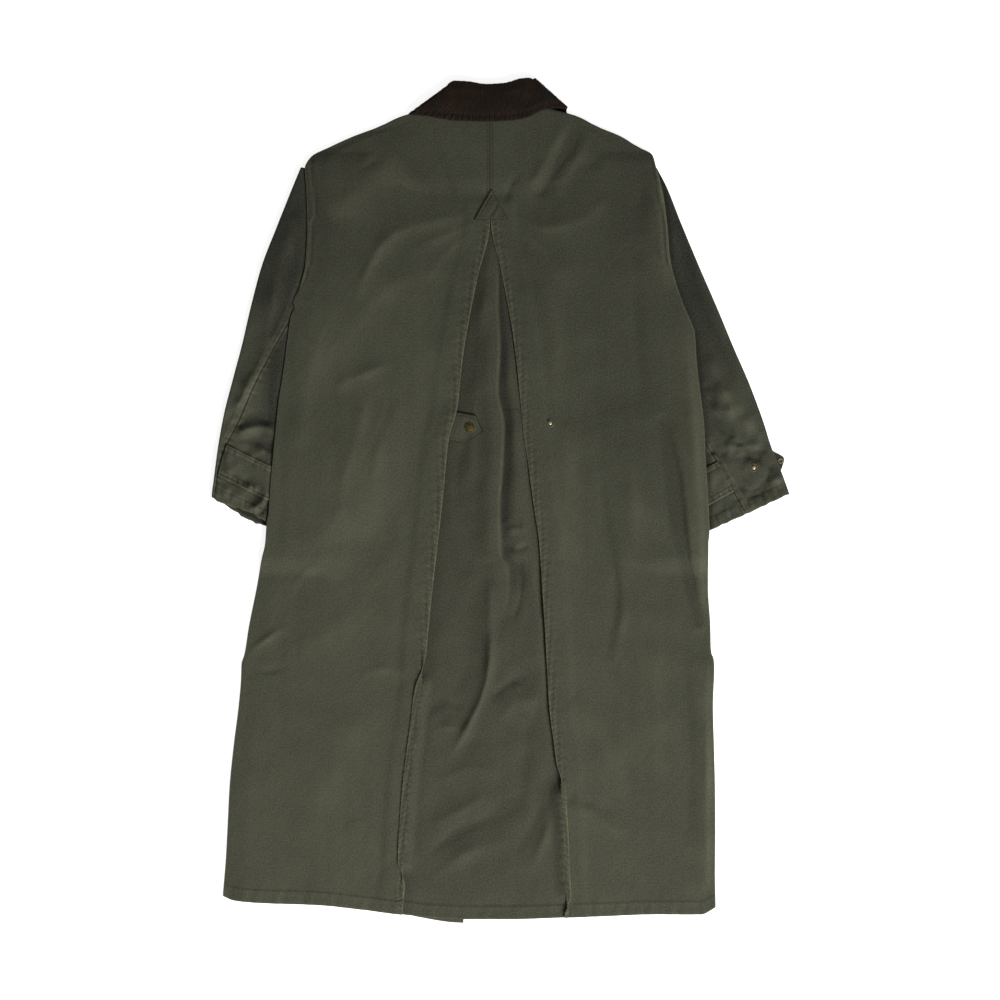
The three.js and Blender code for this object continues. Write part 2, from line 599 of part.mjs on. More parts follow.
// Assembly
const coat = new THREE.Group();
coat.name = "coat";
function add(name, geometry, material) {
  const mesh = new THREE.Mesh(geometry, material);
  mesh.name = name;
  coat.add(mesh);
}

const frontLeft = frontGrid(-1);
const frontRight = frontGrid(1);
add("front_left", sheet(raise(frontLeft, CLOTH), frontLeft), bodyCloth());
add("front_right", sheet(raise(frontRight, CLOTH), frontRight), bodyCloth());

const underlay = underlayGrid();
const underlayTop = raise(underlay, CLOTH);
add("pleat_underlay", sheet(underlayTop, underlay), underlayCloth());

const backLeft = backGrid(-1);
const backRight = backGrid(1);
add("back_left", sheet(backLeft.upper, backLeft.under), bodyCloth());
add("back_right", sheet(backRight.upper, backRight.under), bodyCloth());

const left = sleevePieces(leftSleeve);
const right = sleevePieces(rightSleeve);
add("sleeve_left_top", thickSheet(left.top, CLOTH), sleeveCloth());
add("sleeve_left_under", thickSheet(left.under, CLOTH), sleeveCloth());
add("sleeve_right_top", thickSheet(right.top, CLOTH), sleeveCloth());
add("sleeve_right_under", thickSheet(right.under, CLOTH), sleeveCloth());
add("cuff_strap_left", thickSheet(strapGrid(leftStrap), STRAP_CLOTH), sleeveCloth());
add("cuff_strap_right", thickSheet(strapGrid(rightStrap), STRAP_CLOTH), sleeveCloth());

add("collar", thickSheet(collarGrid(), COLLAR_CLOTH), corduroy());

// The patch and the tab take their heights from what they lie on.
const backTop = (x, y) => heightOn(backLeft.upper, x, y) ?? heightOn(backRight.upper, x, y);
const patch = patchRows.map((row) =>
  [0, 0.25, 0.5, 0.75, 1].map((t) => {
    const x = lerp(row.left, row.right, t);
    const near = [-PATCH_REACH, 0, PATCH_REACH].map((d) => backTop(x + d, row.y) ?? 0);
    return [x, row.y, Math.max(...near) + GAP];
  }),
);
add("pleat_patch", sheet(raise(patch, CLOTH), patch), bodyCloth());
const tab = tabRows.map((row) =>
  [0, 0.33, 0.67, 1].map((t) => {
    const [x, y] = [lerp(row.nearX, row.farX, t), lerp(row.nearY, row.farY, t)];
    return [x, y, heightOn(underlayTop, x, y) + GAP];
  }),
);
const tabTop = raise(tab, STRAP_CLOTH);
add("pleat_tab", sheet(tabTop, tab), bodyCloth());

add("pleat_tab_snap", turned(capOutline(SNAP_RADIUS, SNAP_HEIGHT), TAB_SNAP_AT,
  heightOn(tabTop, ...TAB_SNAP_AT) + GAP), brass(0x423b1d));
add("pleat_stud", turned(studOutline(STUD_RADIUS, STUD_HEIGHT), PLEAT_STUD_AT,
  heightOn(backRight.upper, ...PLEAT_STUD_AT) + GAP), brass(0x605a48));
add("cuff_stud_right", turned(studOutline(STUD_RADIUS, STUD_HEIGHT), SLEEVE_STUD_AT,
  SLEEVE_HEIGHT + STRAP_LIFT + GAP), brass(0x605a48));
add("cuff_strap_snap_right", turned(ringOutline(STRAP_SNAP_RADIUS, STRAP_SNAP_HEIGHT), STRAP_SNAP_AT,
  STRAP_CLOTH + GAP), brass(0x605a48));

export default coat;
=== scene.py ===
# Long twill coat with a corduroy collar, laid flat with its back up: cloth, stitching and brass.
# Surfaces are worked out in millimetres, +X to the right and +Y to the collar, and written in metres.
import math

import bpy
import numpy as np
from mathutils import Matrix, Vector
from mathutils.bvhtree import BVHTree


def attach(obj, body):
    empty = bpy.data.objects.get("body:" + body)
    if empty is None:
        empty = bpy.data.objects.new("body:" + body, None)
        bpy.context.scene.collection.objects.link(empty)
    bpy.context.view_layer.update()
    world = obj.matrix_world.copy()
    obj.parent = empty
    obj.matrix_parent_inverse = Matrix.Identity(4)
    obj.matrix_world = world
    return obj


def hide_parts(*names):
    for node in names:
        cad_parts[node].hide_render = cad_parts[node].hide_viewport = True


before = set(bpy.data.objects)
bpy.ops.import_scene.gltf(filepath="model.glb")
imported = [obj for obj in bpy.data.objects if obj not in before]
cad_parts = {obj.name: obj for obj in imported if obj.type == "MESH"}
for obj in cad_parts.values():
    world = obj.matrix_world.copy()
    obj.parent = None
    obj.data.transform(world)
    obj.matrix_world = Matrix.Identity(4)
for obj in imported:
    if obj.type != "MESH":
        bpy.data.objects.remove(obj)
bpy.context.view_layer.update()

bl_info = {
    "name": "Laid coat",
    "version": (1, 0, 0),
    "blender": (4, 5, 0),
    "location": "View3D > Sidebar > Coat",
    "description": "Makes the cloth, stitching and fastenings of a long coat that lies with its back up",
    "category": "Add Mesh",
}

MM = 0.001

# Layers, in millimetres above the surface that the coat lies on
CLOTH = 1.2
STRAP_CLOTH = 1.6
GAP = 0.3
LAYER = CLOTH + GAP
INNER_LIFT = 2 * LAYER
SLEEVE_INSIDE = 2.6
SLEEVE_RADIUS = (SLEEVE_INSIDE + CLOTH) / 2
SLEEVE_HEIGHT = SLEEVE_INSIDE + 2 * CLOTH
STRAP_LIFT = STRAP_CLOTH + GAP
NECK_LIFT = 2.7
NECK_SPACE = 0.5

# Body
CENTRE = -15.2
HEM_LEVEL = -600.0
NECK_LEVEL = 588.0
APEX_LEVEL = 440.0
UNDERLAY_TOP = 450.0
FRONT_RAMP = 30.0
BACK_RAMP = 95.0
TUCK = 20.0
LIP = 8.0
LIP_RADIUS = 0.9
LIP_HALF = 0.8
HEM_DEPTH = 21.5
HEM_STITCH = 20.0
HEM_HALF = 0.85
EDGE_ROUND = 0.7
STEP = 3.1
FRONT_STEP = 10.0
FRONT_OVERLAP = 60.0
FRONT_SEAM = 0.7
BACK_GAIN = 2.0


def table(names, rows):
    """A short table: each named column becomes an array."""
    return dict(zip(names.split(), np.array(rows, float).T))


# Side edges of the body, from the hem to the neck
left_edge = table("y x", [
    (-600, -416), (-549, -412), (-489, -409), (-429, -406), (-369, -400), (-309, -392.5), (-270, -389),
    (-244, -388), (-236, -385), (-189, -377), (-129, -365), (-90, -358), (-64, -352), (-37, -350),
    (-18, -347), (20, -344.5), (58, -341), (112, -336), (150, -332), (188, -326), (240, -319),
    (276, -314), (291, -308), (297, -310), (316, -302), (355, -292), (417, -289), (470, -291),
    (497, -293), (516, -283), (531, -254), (546, -221), (561, -181), (576, -149), (588, -105)])
right_edge = table("y x", [
    (-600, 324), (-549, 323), (-489, 323.5), (-429, 323), (-369, 321.5), (-309, 320), (-249, 322),
    (-236, 320.5), (-228, 317), (-189, 316), (-129, 312.5), (-64, 312.5), (-48, 314), (-18, 313), (27, 310.5),
    (73, 307.5), (112, 306), (157, 301), (208, 295), (252, 292), (264, 288), (297, 274), (331, 262.5),
    (367, 254.5), (411, 251), (457, 245), (502, 233.5), (519, 228.5), (531, 206), (546, 182),
    (561, 146), (576, 117), (588, 75)])

# The line that each pleat edge turns about, 8 mm inside its free edge
left_hinge = table("y x", [
    (-620, -157.5), (-600, -155), (-560, -150.5), (-538, -146), (-511, -145), (-462, -141.5), (-411, -137),
    (-358, -130), (-298, -122.5), (-265, -118), (-250, -118), (-219, -117.5), (-190, -115), (-132, -109),
    (-75, -102.5), (10, -93), (90, -85), (140, -72), (212, -64), (333, -42), (418, -23.0), (600, -23.0)])
right_hinge = table("y x", [
    (-624, 107.5), (-592, 104), (-560, 98.5), (-492, 94.5), (-435, 91.5), (-411, 93.5), (-373, 89.5),
    (-313, 82), (-239, 77.5), (-201, 75.5), (-132, 71), (-64, 66.5), (-6, 58), (61, 49), (102, 43),
    (170, 36.5), (243, 28), (303, 17.5), (351, 8), (412, -5.7), (440, -7.4), (600, -7.4)])

# Where each pleat edge turns over onto its panel, as half turns
left_turn = table("y turns", [
    (-620, 0), (-568, 0), (-546, 0.5), (-526, 1), (-286, 1), (-254, 0.5), (-206, 0), (600, 0)])
right_turn = table("y turns", [
    (-620, 0), (-604, 0), (-582, 0.5), (-558, 1), (-446, 1), (-418, 0.5), (-380, 0), (600, 0)])

# The inner fold of the sleeve beneath the body, and the height that the fronts take over it
left_cover = table("y x rise", [
    (-150, -289, 0), (-102, -289, 0), (-69, -291, 7.3), (-36, -262, 9.1), (6, -232, 9.1), (54, -214, 9.1),
    (114, -184, 7.3), (168, -168, 5.3), (231, -148, 5.3), (300, -151, 5.3), (375, -163, 5.3),
    (450, -187, 5.3), (486, -217, 5.3), (504, -208, 5.3), (518, -198, 3.6), (531, -182, 0), (600, -76, 0)])
right_cover = table("y x rise", [
    (-150, 262, 0), (-102, 270, 0), (-69, 289, 7.3), (-36, 262, 9.1), (6, 219, 9.1), (54, 190, 9.1),
    (114, 157, 7.3), (168, 127, 5.3), (231, 96, 5.3), (300, 94, 5.3), (375, 104, 5.3), (450, 128, 5.3),
    (486, 154, 5.3), (504, 159, 5.3), (518, 156, 3.6), (531, 140, 0), (600, 48, 0)])

# Lower edges, and how far a level of the body follows them
back_hem = table("x y", [
    (-416, -594), (-400, -600.5), (-344, -605), (-269, -607.5), (-212, -613.5), (-151, -621),
    (-52, -628.5), (19, -628.5), (85, -626.4), (155, -624), (238, -621), (302, -621.6), (324, -611)])
left_front_hem = table("x y", [
    (-416, -591), (-344, -601), (-269, -604), (-151, -619), (-128, -624.5), (-55, -634.5), (-50, -634.5)])
right_front_hem = table("x y", [(-115, -620), (19, -624), (155, -620), (302, -617), (324, -607)])
hem_share = table("y share", [(-600, 1), (-575, 1), (-538, 0.62), (-502, 0.32), (-462, 0.1), (-420, 0)])

# The front neckline, as a distance from the centre at each height
neckline = table("y out", [(505, 9), (509, 14), (517, 35), (531, 55), (545, 68), (558, 77), (572, 82), (588, 84)])

# Folds of the back panels: bent lines, each with a width and a height, troughs below nought
back_folds = [
    # left shoulder and the yoke
    ([(-150, 520), (-205, 470), (-262, 425)], 34, 2.6),
    ([(-109, 560), (-84, 500), (-66, 450), (-52, 436)], 11, -1.1),
    ([(-52, 428), (-110, 416), (-160, 400), (-196, 352), (-216, 300)], 13, 1.9),
    ([(-30, 418), (-90, 395), (-140, 370)], 9, 0.7),
    ([(-40, 405), (-84, 368), (-112, 330)], 10, 0.6),
    ([(-60, 350), (-150, 330), (-230, 250), (-290, 180)], 26, 1.1),
    ([(-160, 205), (-200, 192), (-250, 168)], 12, 1.5),
    ([(-190, 180), (-226, 60), (-250, -40)], 22, 1.5),
    ([(-150, 150), (-190, 40), (-196, -60)], 18, 0.8),
    ([(-250, 300), (-286, 190), (-300, 80)], 20, 0.9),
    # left panel below the waist
    ([(-316, -132), (-280, -100), (-236, -116)], 8, 0.9),
    ([(-388, -240), (-362, -216), (-318, -186)], 7, 1.2),
    ([(-388, -252), (-350, -256), (-320, -250)], 6, -0.7),
    ([(-140, -20), (-168, -120), (-160, -230)], 22, 0.7),
    ([(-138, -262), (-176, -252), (-210, -262)], 9, 0.8),
    ([(-170, -90), (-246, -190), (-340, -236)], 30, 0.8),
    ([(-190, -300), (-262, -420), (-300, -520)], 36, 0.7),
    ([(-220, -480), (-190, -520), (-166, -540)], 12, 0.7),
    # right shoulder and the yoke
    ([(140, 560), (120, 522), (98, 486), (80, 456)], 13, 0.9),
    ([(122, 574), (100, 530), (78, 490), (58, 456)], 10, -2.6),
    ([(98, 566), (74, 520), (52, 478), (38, 450)], 12, 1.2),
    ([(26, 490), (14, 468), (6, 446)], 6, -1.3),
    ([(20, 424), (66, 408), (120, 420), (170, 462)], 12, 0.9),
    ([(26, 410), (60, 380), (90, 330)], 9, 0.8),
    ([(243, 500), (248, 440), (252, 380), (268, 320)], 24, 3.4),
    ([(182, 540), (200, 470), (214, 400)], 24, -1.4),
    ([(280, 290), (283, 200), (291, 90), (296, 0), (303, -100), (308, -200)], 22, 3.4),
    ([(196, 340), (206, 240), (222, 120)], 18, -1.2),
    ([(238, 128), (249, 96), (260, 30), (268, -40), (280, -110), (300, -190)], 9, -7.5),
    ([(258, 110), (274, 10), (288, -90), (298, -170)], 13, 1.8),
    # right panel below the waist
    ([(312, -236), (312, -360), (310, -480), (312, -590)], 17, 2.3),
    ([(280, -250), (286, -380), (282, -520)], 20, -0.9),
    ([(96, 120), (100, 20), (92, -90)], 22, 1.5),
    ([(196, 60), (200, -20), (196, -100)], 20, 1.4),
    ([(150, 40), (162, -50), (176, -140), (158, -240)], 10, -1.3),
    ([(170, -60), (186, -150), (170, -250)], 11, 0.9),
    ([(70, 330), (84, 240), (80, 150)], 20, 0.8),
    ([(120, 240), (150, 180), (146, 110)], 24, -0.7),
    ([(104, -452), (150, -478), (190, -506)], 12, 0.9),
    ([(100, -440), (130, -452), (170, -470)], 9, -0.6),
    ([(106, -300), (150, -350), (190, -440)], 26, 0.8),
    ([(210, -160), (236, -300), (230, -430)], 30, 0.8),
]

# Folds of the pleat's underlay
underlay_folds = [
    ([(-22, 330), (-34, 200), (-42, 80), (-46, -40)], 11, 1.0),
    ([(-30, 120), (-62, 60), (-66, -20)], 10, -0.8),
    ([(-16, -120), (-14, -210), (-20, -270), (-44, -330), (-72, -380)], 8, 3.4),
    ([(-38, -120), (-44, -220), (-70, -300)], 16, -1.0),
    ([(22, -270), (30, -296), (50, -320)], 4, 0.9),
    ([(46, -90), (62, -190), (70, -290), (84, -390), (90, -430)], 10, 2.2),
    ([(26, -66), (32, -130), (20, -180)], 9, -2.0),
    ([(6, -28), (20, -44), (40, -40)], 7, 1.6),
    ([(8, -58), (22, -74), (44, -66)], 6, -1.7),
    ([(-14, -296), (14, -274), (44, -262)], 10, -1.6),
    ([(0, -330), (30, -296), (60, -300)], 12, 1.2),
    ([(-112, -322), (-84, -300), (-56, -312)], 8, -1.1),
    ([(-106, -350), (-76, -338), (-40, -352)], 9, 1.0),
    ([(40, -330), (36, -420), (18, -470)], 16, -1.2),
    ([(-110, -520), (-60, -488), (0, -466), (30, -440)], 11, -1.9),
    ([(-104, -548), (-50, -516), (14, -500)], 10, 1.6),
    ([(-100, -480), (-60, -462), (-20, -440)], 10, 1.2),
    ([(20, -520), (50, -480), (74, -420), (80, -380)], 10, -1.6),
    ([(46, -540), (74, -480), (86, -440)], 9, 1.9),
    ([(-90, -420), (-40, -400), (0, -410)], 14, 0.9),
]

# The line of the underlay's sharp fold: its place, the crest left of it and the slope right of it
fold_line = table("y x crest slope", [
    (-340, -40, 0, 0), (-266, -17, 0, 0), (-190, -2, 0.2, 0.3), (-128, 12, 1.0, 0.9), (-98, 11, 2.2, 2.0),
    (-82, 1, 3.0, 2.6), (-18, -1.5, 3.4, 3.2), (54, 3, 3.4, 3.4), (114, 5, 3.4, 3.4), (168, -4, 3.2, 3.2),
    (231, -1, 2.8, 2.8), (300, -4, 2.2, 2.2), (345, -3, 1.4, 1.4), (400, -12, 0.4, 0.4), (450, -15, 0, 0)])

# Folds of the sleeves' upper faces
left_sleeve_folds = [
    ([(-300, 440), (-322, 380), (-340, 300), (-352, 230)], 16, 2.0),
    ([(-345, 250), (-366, 190), (-388, 150)], 12, 1.4),
    ([(-382, 132), (-358, 124), (-330, 112)], 7, -3.0),
    ([(-394, 100), (-376, 108), (-352, 110), (-338, 98)], 7, 3.2),
    ([(-388, 92), (-364, 90), (-340, 76), (-328, 70)], 5.5, -3.4),
    ([(-404, 118), (-392, 110), (-378, 116)], 6, -2.0),
    ([(-404, 134), (-388, 150), (-372, 190)], 7, 1.8),
    ([(-376, 62), (-356, 74), (-336, 64)], 6, 1.6),
    ([(-418, 40), (-404, 34), (-390, 20)], 6, -2.0),
    ([(-424, 24), (-396, 8), (-376, 2)], 8, 2.0),
    ([(-404, 42), (-382, 28), (-366, 8), (-362, -6)], 5.5, -2.6),
    ([(-384, 26), (-370, 18), (-358, 24)], 5, 2.2),
    ([(-378, -14), (-362, -8), (-352, 4), (-352, 20)], 6, 2.6),
    ([(-366, -22), (-356, -16), (-348, -2)], 4, -1.6),
]
right_sleeve_folds = [
    ([(262, 400), (286, 325), (314, 264), (340, 208), (352, 180)], 8, -2.2),
    ([(270, 420), (306, 330), (340, 262), (366, 190)], 9, 1.6),
    ([(318, 130), (342, 104), (348, 92)], 7, -3.0),
    ([(352, 92), (366, 80), (376, 66), (392, 60)], 6, -2.4),
    ([(330, 180), (344, 140), (340, 112)], 9, 2.2),
    ([(346, 160), (368, 120), (392, 96)], 11, 1.8),
    ([(312, 82), (330, 70), (342, 74)], 6, -2.4),
    ([(336, 84), (360, 80), (392, 84)], 6, 1.6),
    ([(350, 62), (380, 70), (404, 78)], 6, -1.6),
    ([(344, 30), (366, 18), (388, 10), (402, 4)], 7, -1.6),
    ([(370, 4), (392, 20), (404, 44), (410, 58)], 6, -2.6),
    ([(394, 52), (412, 34), (420, 20)], 7, 2.2),
    ([(310, 220), (330, 170), (336, 130)], 14, 1.6),
    ([(316, 128), (318, 150), (310, 176)], 9, -1.6),
]

# Sleeve sections from the shoulder to the cuff: outer and inner fold, and the back seam's share
SLEEVE_COLUMNS = "outer_x outer_y inner_x inner_y seam lift"
left_sleeve = table(SLEEVE_COLUMNS, [
    (-299, 500, -221, 486, 0.5, 0), (-311, 471, -191, 450, 0.45, 0), (-335, 411, -167, 375, 0.4, 0),
    (-358, 351, -155, 300, 0.33, 0), (-374, 291, -152, 231, 0.27, 0), (-388, 231, -172, 168, 0.2, 0),
    (-400, 186, -188, 114, 0.155, 0), (-415, 126, -218, 54, 0.115, 1), (-423, 81, -236, 6, 0.055, 1),
    (-429, 36, -266, -36, 0.03, 1), (-433, 4, -295, -63, 0.03, 1)])
right_sleeve = table(SLEEVE_COLUMNS, [
    (235, 500, 163, 486, 0.45, 0), (250, 471, 132, 450, 0.45, 0), (274, 411, 108, 375, 0.45, 0),
    (299, 351, 98, 300, 0.45, 0), (325, 291, 100, 231, 0.45, 0), (350, 231, 131, 168, 0.45, 0),
    (376, 171, 161, 114, 0.45, 0), (396, 116, 194, 54, 0.44, 1), (407, 81, 223, 6, 0.42, 1),
    (425, 36, 266, -36, 0.44, 1), (434, 10, 293, -55, 0.457, 1)])

# Cuff straps: three lines along each, from the sewn end over the inner fold to the end beneath
STRAP_COLUMNS = "sewn_x sewn_y inner_x inner_y end_x end_y"
left_strap = table(STRAP_COLUMNS, [
    (-410, 84, -240.2, 0.6, -395, 70), (-417, 61, -254, -18.7, -398, 46),
    (-423, 37.5, -268.2, -38.7, -402, 24)])
right_strap = table(STRAP_COLUMNS, [
    (326.2, 58.5, 225, 2, 409, 75), (338, 36, 244.5, -16.5, 427, 62), (350.2, 13.5, 262.5, -35.3, 420, 39)])

# Collar stations round the neck: neck seam, line that it turns over at, outer edge, facing, outward way
collar_stations = table("seam_x seam_y roll_x roll_y edge_x edge_y facing out_x out_y", [
    (-49, 521, -38, 545, -80, 494, -90, -0.62, 0.785), (-68, 536, -52, 568, -112, 514, -90, -0.62, 0.785),
    (-91, 563, -66, 601, -134, 549, -90, -0.62, 0.785), (-100, 590, -79, 622, -137, 579, -90, -0.62, 0.785),
    (-100, 590, -77, 619.5, -135, 576.5, -45, -0.62, 0.785), (-100, 590, -76, 618.5, -134, 575.5, 0, -0.62, 0.785),
    (-100, 590, -77, 619.5, -135, 576.5, 45, -0.62, 0.785), (-98, 589.5, -77, 623, -132, 578, 90, -0.62, 0.785),
    (-84, 589.5, -68, 629.5, -110, 576, 90, 0, 1), (-62, 589.5, -47, 628.5, -64, 569, 90, 0, 1),
    (-38, 589.5, -21, 624.5, -19, 568, 90, 0, 1), (-10, 589.5, 6, 626, 16, 569.5, 90, 0, 1),
    (22, 589.5, 32, 633, 41, 574, 90, 0, 1), (48, 589.5, 44, 634, 64, 585, 90, 0, 1),
    (66, 589.5, 48, 632, 86, 588, 90, 0.62, 0.785), (70, 590, 50, 631, 99, 586, 45, 0.62, 0.785),
    (70, 590, 50, 631, 99, 586, 0, 0.62, 0.785), (70, 590, 50, 631, 99, 586, -45, 0.62, 0.785),
    (70, 590, 50, 631, 100, 584, -90, 0.62, 0.785), (61, 563, 40, 601, 104, 549, -90, 0.62, 0.785),
    (38, 537, 24, 568, 84, 514, -90, 0.62, 0.785), (19, 523, 10, 545, 52, 494, -90, 0.62, 0.785)])

# Patch and pointed tab
patch_sides = table("y left right", [
    (420.8, -38.7, 12.5), (432, -32.4, 6.2), (443.5, -25.8, -0.2), (455, -19.2, -6.6), (466, -13.9, -11.9)])
tab_sides = table("near_x near_y far_x far_y", [
    (-74.2, 90.2, -52.2, 85), (-71.7, 102, -30, 100.5), (-69, 114, -25.7, 104.2), (-66.5, 124, -31, 116),
    (-63.8, 134.2, -36, 127.8)])

# Fastenings: centre and radius
TAB_SNAP = (-45.3, 109.2, 7.5)
PLEAT_STUD = (75.0, 116.2, 6.2)
SLEEVE_STUD = (380.2, 49.5, 6.2)
STRAP_SNAP = (421.6, 59.5, 4.0)

# Broad patches of painted shade, which darken the cloth: centre, half sizes and share
shade_patches = table("x y wide high share", [
    (-220, 450, 150, 110, 0.8), (-120, 380, 130, 70, 0.16), (180, 440, 130, 110, 0.36), (60, 330, 60, 90, 0.12),
    (-180, 250, 220, 150, 0.12), (200, 230, 160, 180, 0.2), (-200, 90, 240, 120, 0.1), (180, 60, 200, 120, 0.12),
    (-270, 480, 60, 60, 0.2), (-300, 430, 70, 90, 0.6)])


# Topstitching of the armholes, where it shows on the body
ARMHOLE_LEFT = [(-285, 524), (-282.7, 511), (-278, 470), (-273.7, 429), (-280, 416), (-284, 356), (-296, 316)]
ARMHOLE_RIGHT = [(226, 520), (230, 500), (238, 452), (246, 414), (247, 380), (252, 345)]
ARMHOLE_ROWS = [ARMHOLE_LEFT, ARMHOLE_RIGHT, [(222, 500), (230, 452), (240, 414)]]


def curve(rows, key, column, at):
    """The value of a column at a place: cubic pieces through the rows, with slopes that never overshoot."""
    x = rows[key]
    y = rows[column]
    gap = np.diff(x)
    slope = np.diff(y) / gap
    tangent = np.concatenate([slope[:1], np.zeros(len(slope) - 1), slope[-1:]])
    before = slope[:-1]
    after = slope[1:]
    same = before * after > 0
    wide = 2 * gap[1:] + gap[:-1]
    near = gap[1:] + 2 * gap[:-1]
    safe_before = np.where(same, before, 1)
    safe_after = np.where(same, after, 1)
    tangent[1:-1] = np.where(same, (wide + near) / (wide / safe_before + near / safe_after), 0)
    at = np.clip(at, x[0], x[-1])
    i = np.clip(np.searchsorted(x, at, side="right") - 1, 0, len(gap) - 1)
    t = (at - x[i]) / gap[i]
    start = y[i] * (1 + 2 * t) + tangent[i] * gap[i] * t
    end = y[i + 1] * (3 - 2 * t) + tangent[i + 1] * gap[i] * (t - 1)
    return start * (1 - t) ** 2 + end * t * t


def ease(t):
    """A smooth step from 0 to 1."""
    t = np.clip(t, 0, 1)
    return t * t * (3 - 2 * t)


def lerp(a, b, t):
    return a + (b - a) * t


def line_distance(x, y, points):
    """Distance to a bent line, the share of its length at the nearest point, and that length."""
    points = np.array(points, float)
    lengths = np.hypot(*np.diff(points, axis=0).T)
    starts = np.concatenate([[0], np.cumsum(lengths)])
    best = np.full(np.shape(x), np.inf)
    place = np.zeros(np.shape(x))
    for (ax, ay), (bx, by), start, length in zip(points[:-1], points[1:], starts, lengths):
        t = np.clip(((x - ax) * (bx - ax) + (y - ay) * (by - ay)) / length ** 2, 0, 1)
        away = np.hypot(x - lerp(ax, bx, t), y - lerp(ay, by, t))
        place = np.where(away < best, start + t * length, place)
        best = np.minimum(best, away)
    return best, place / starts[-1], starts[-1]


def rounded(points, count=9):
    """A bent line with its corners rounded: a cubic curve through its points."""
    points = np.array(points, float)
    rows = {"t": np.arange(len(points), dtype=float), "x": points[:, 0], "y": points[:, 1]}
    at = np.linspace(0, len(points) - 1, count)
    return np.stack([curve(rows, "t", "x", at), curve(rows, "t", "y", at)], axis=-1)


def relief(x, y, folds, seed, gain=1.0):
    """The sum of folds: each falls away from a narrow crest along its line, uneven and fading at its ends."""
    rng = np.random.default_rng(seed)
    height = np.zeros(np.shape(x))
    for points, width, top in folds:
        away, share, length = line_distance(x, y, rounded(points))
        phase, waves = rng.uniform(0, math.tau), rng.uniform(1.2, 2.6)
        uneven = 1 + 0.28 * np.sin(waves * math.tau * share + phase)
        spread = width * (1 + 0.2 * np.sin(3 * share + 2 * phase))
        ends = np.clip(4 * share * (1 - share), 0, 1) ** 0.7
        height += gain * top * uneven * ends * np.exp(0.45 - 1.5 * np.sqrt((away / spread) ** 2 + 0.09))
    return height


def ripples(x, y, seed, shortest, longest, height, count=22):
    """Gentle unevenness of laid cloth: a sum of waves with random directions, lengths and phases."""
    rng = np.random.default_rng(seed)
    total = np.zeros(np.shape(x))
    for _ in range(count):
        heading = rng.uniform(0, math.pi)
        length = rng.uniform(shortest, longest)
        phase = rng.uniform(0, math.tau)
        distance = x * math.cos(heading) + y * math.sin(heading)
        total += np.sin(math.tau * distance / length + phase)
    return height * total / math.sqrt(count / 2)


def pucker(place, seed, pitch):
    """Puckers along a seam: two waves of unlike pitch, both wandering."""
    rng = np.random.default_rng(seed)
    a, b, c = rng.uniform(0, math.tau, 3)
    wander = 0.9 * np.sin(place / (4.3 * pitch) + a)
    return 0.6 * np.sin(math.tau * place / pitch + wander + b) + 0.4 * np.sin(math.tau * place / (0.62 * pitch) + c)


def edge_half(away, half, radius):
    """Half thickness at a distance from a rounded edge: a quarter circle that ends in a narrow face."""
    inside = np.clip(away / radius, 0, 1)
    return half * np.sqrt(np.clip(1 - (1 - inside) ** 2, 0.04, 1))


def levels(bottom, top, step, low_steps, high_steps):
    """Levels from bottom to top, even in the middle and listed near both ends."""
    low = bottom + np.array(low_steps, float)
    high = top - np.array(high_steps, float)[::-1]
    count = max(2, int(round((high[0] - low[-1]) / step)))
    return np.concatenate([low, np.linspace(low[-1], high[0], count + 1)[1:-1], high])


pieces = {}


def cloth_mesh(name, middle, half, uv, marks):
    """A closed sheet: a grid of points moved out and in along its own normals by half its thickness.

    uv is the place in the cloth in metres, and marks are named values from 0 to 1 at the same points.
    """
    rows, columns = half.shape
    along = np.gradient(middle, axis=0)
    across = np.gradient(middle, axis=1)
    normal = np.cross(across, along)
    normal /= np.linalg.norm(normal, axis=-1, keepdims=True)
    upper = middle + normal * half[..., None]
    lower = middle - normal * half[..., None]
    points = np.concatenate([upper.reshape(-1, 3), lower.reshape(-1, 3)]) * MM
    points[:, 2] = np.maximum(points[:, 2], 0)
    index = np.arange(rows * columns).reshape(rows, columns)
    a, b, c, d = index[:-1, :-1], index[:-1, 1:], index[1:, 1:], index[1:, :-1]
    under = rows * columns
    quads = [np.stack([a, b, c, d], -1), np.stack([a, d, c, b], -1) + under]
    for ring in (index[:, 0][::-1], index[:, -1], index[0, :], index[-1, :][::-1]):
        quads.append(np.stack([ring[:-1], ring[:-1] + under, ring[1:] + under, ring[1:]], -1))
    faces = np.concatenate([q.reshape(-1, 4) for q in quads])
    return grid_object(name, points, faces, np.concatenate([uv.reshape(-1, 2)] * 2),
                       {key: np.concatenate([value.ravel()] * 2) for key, value in marks.items()})


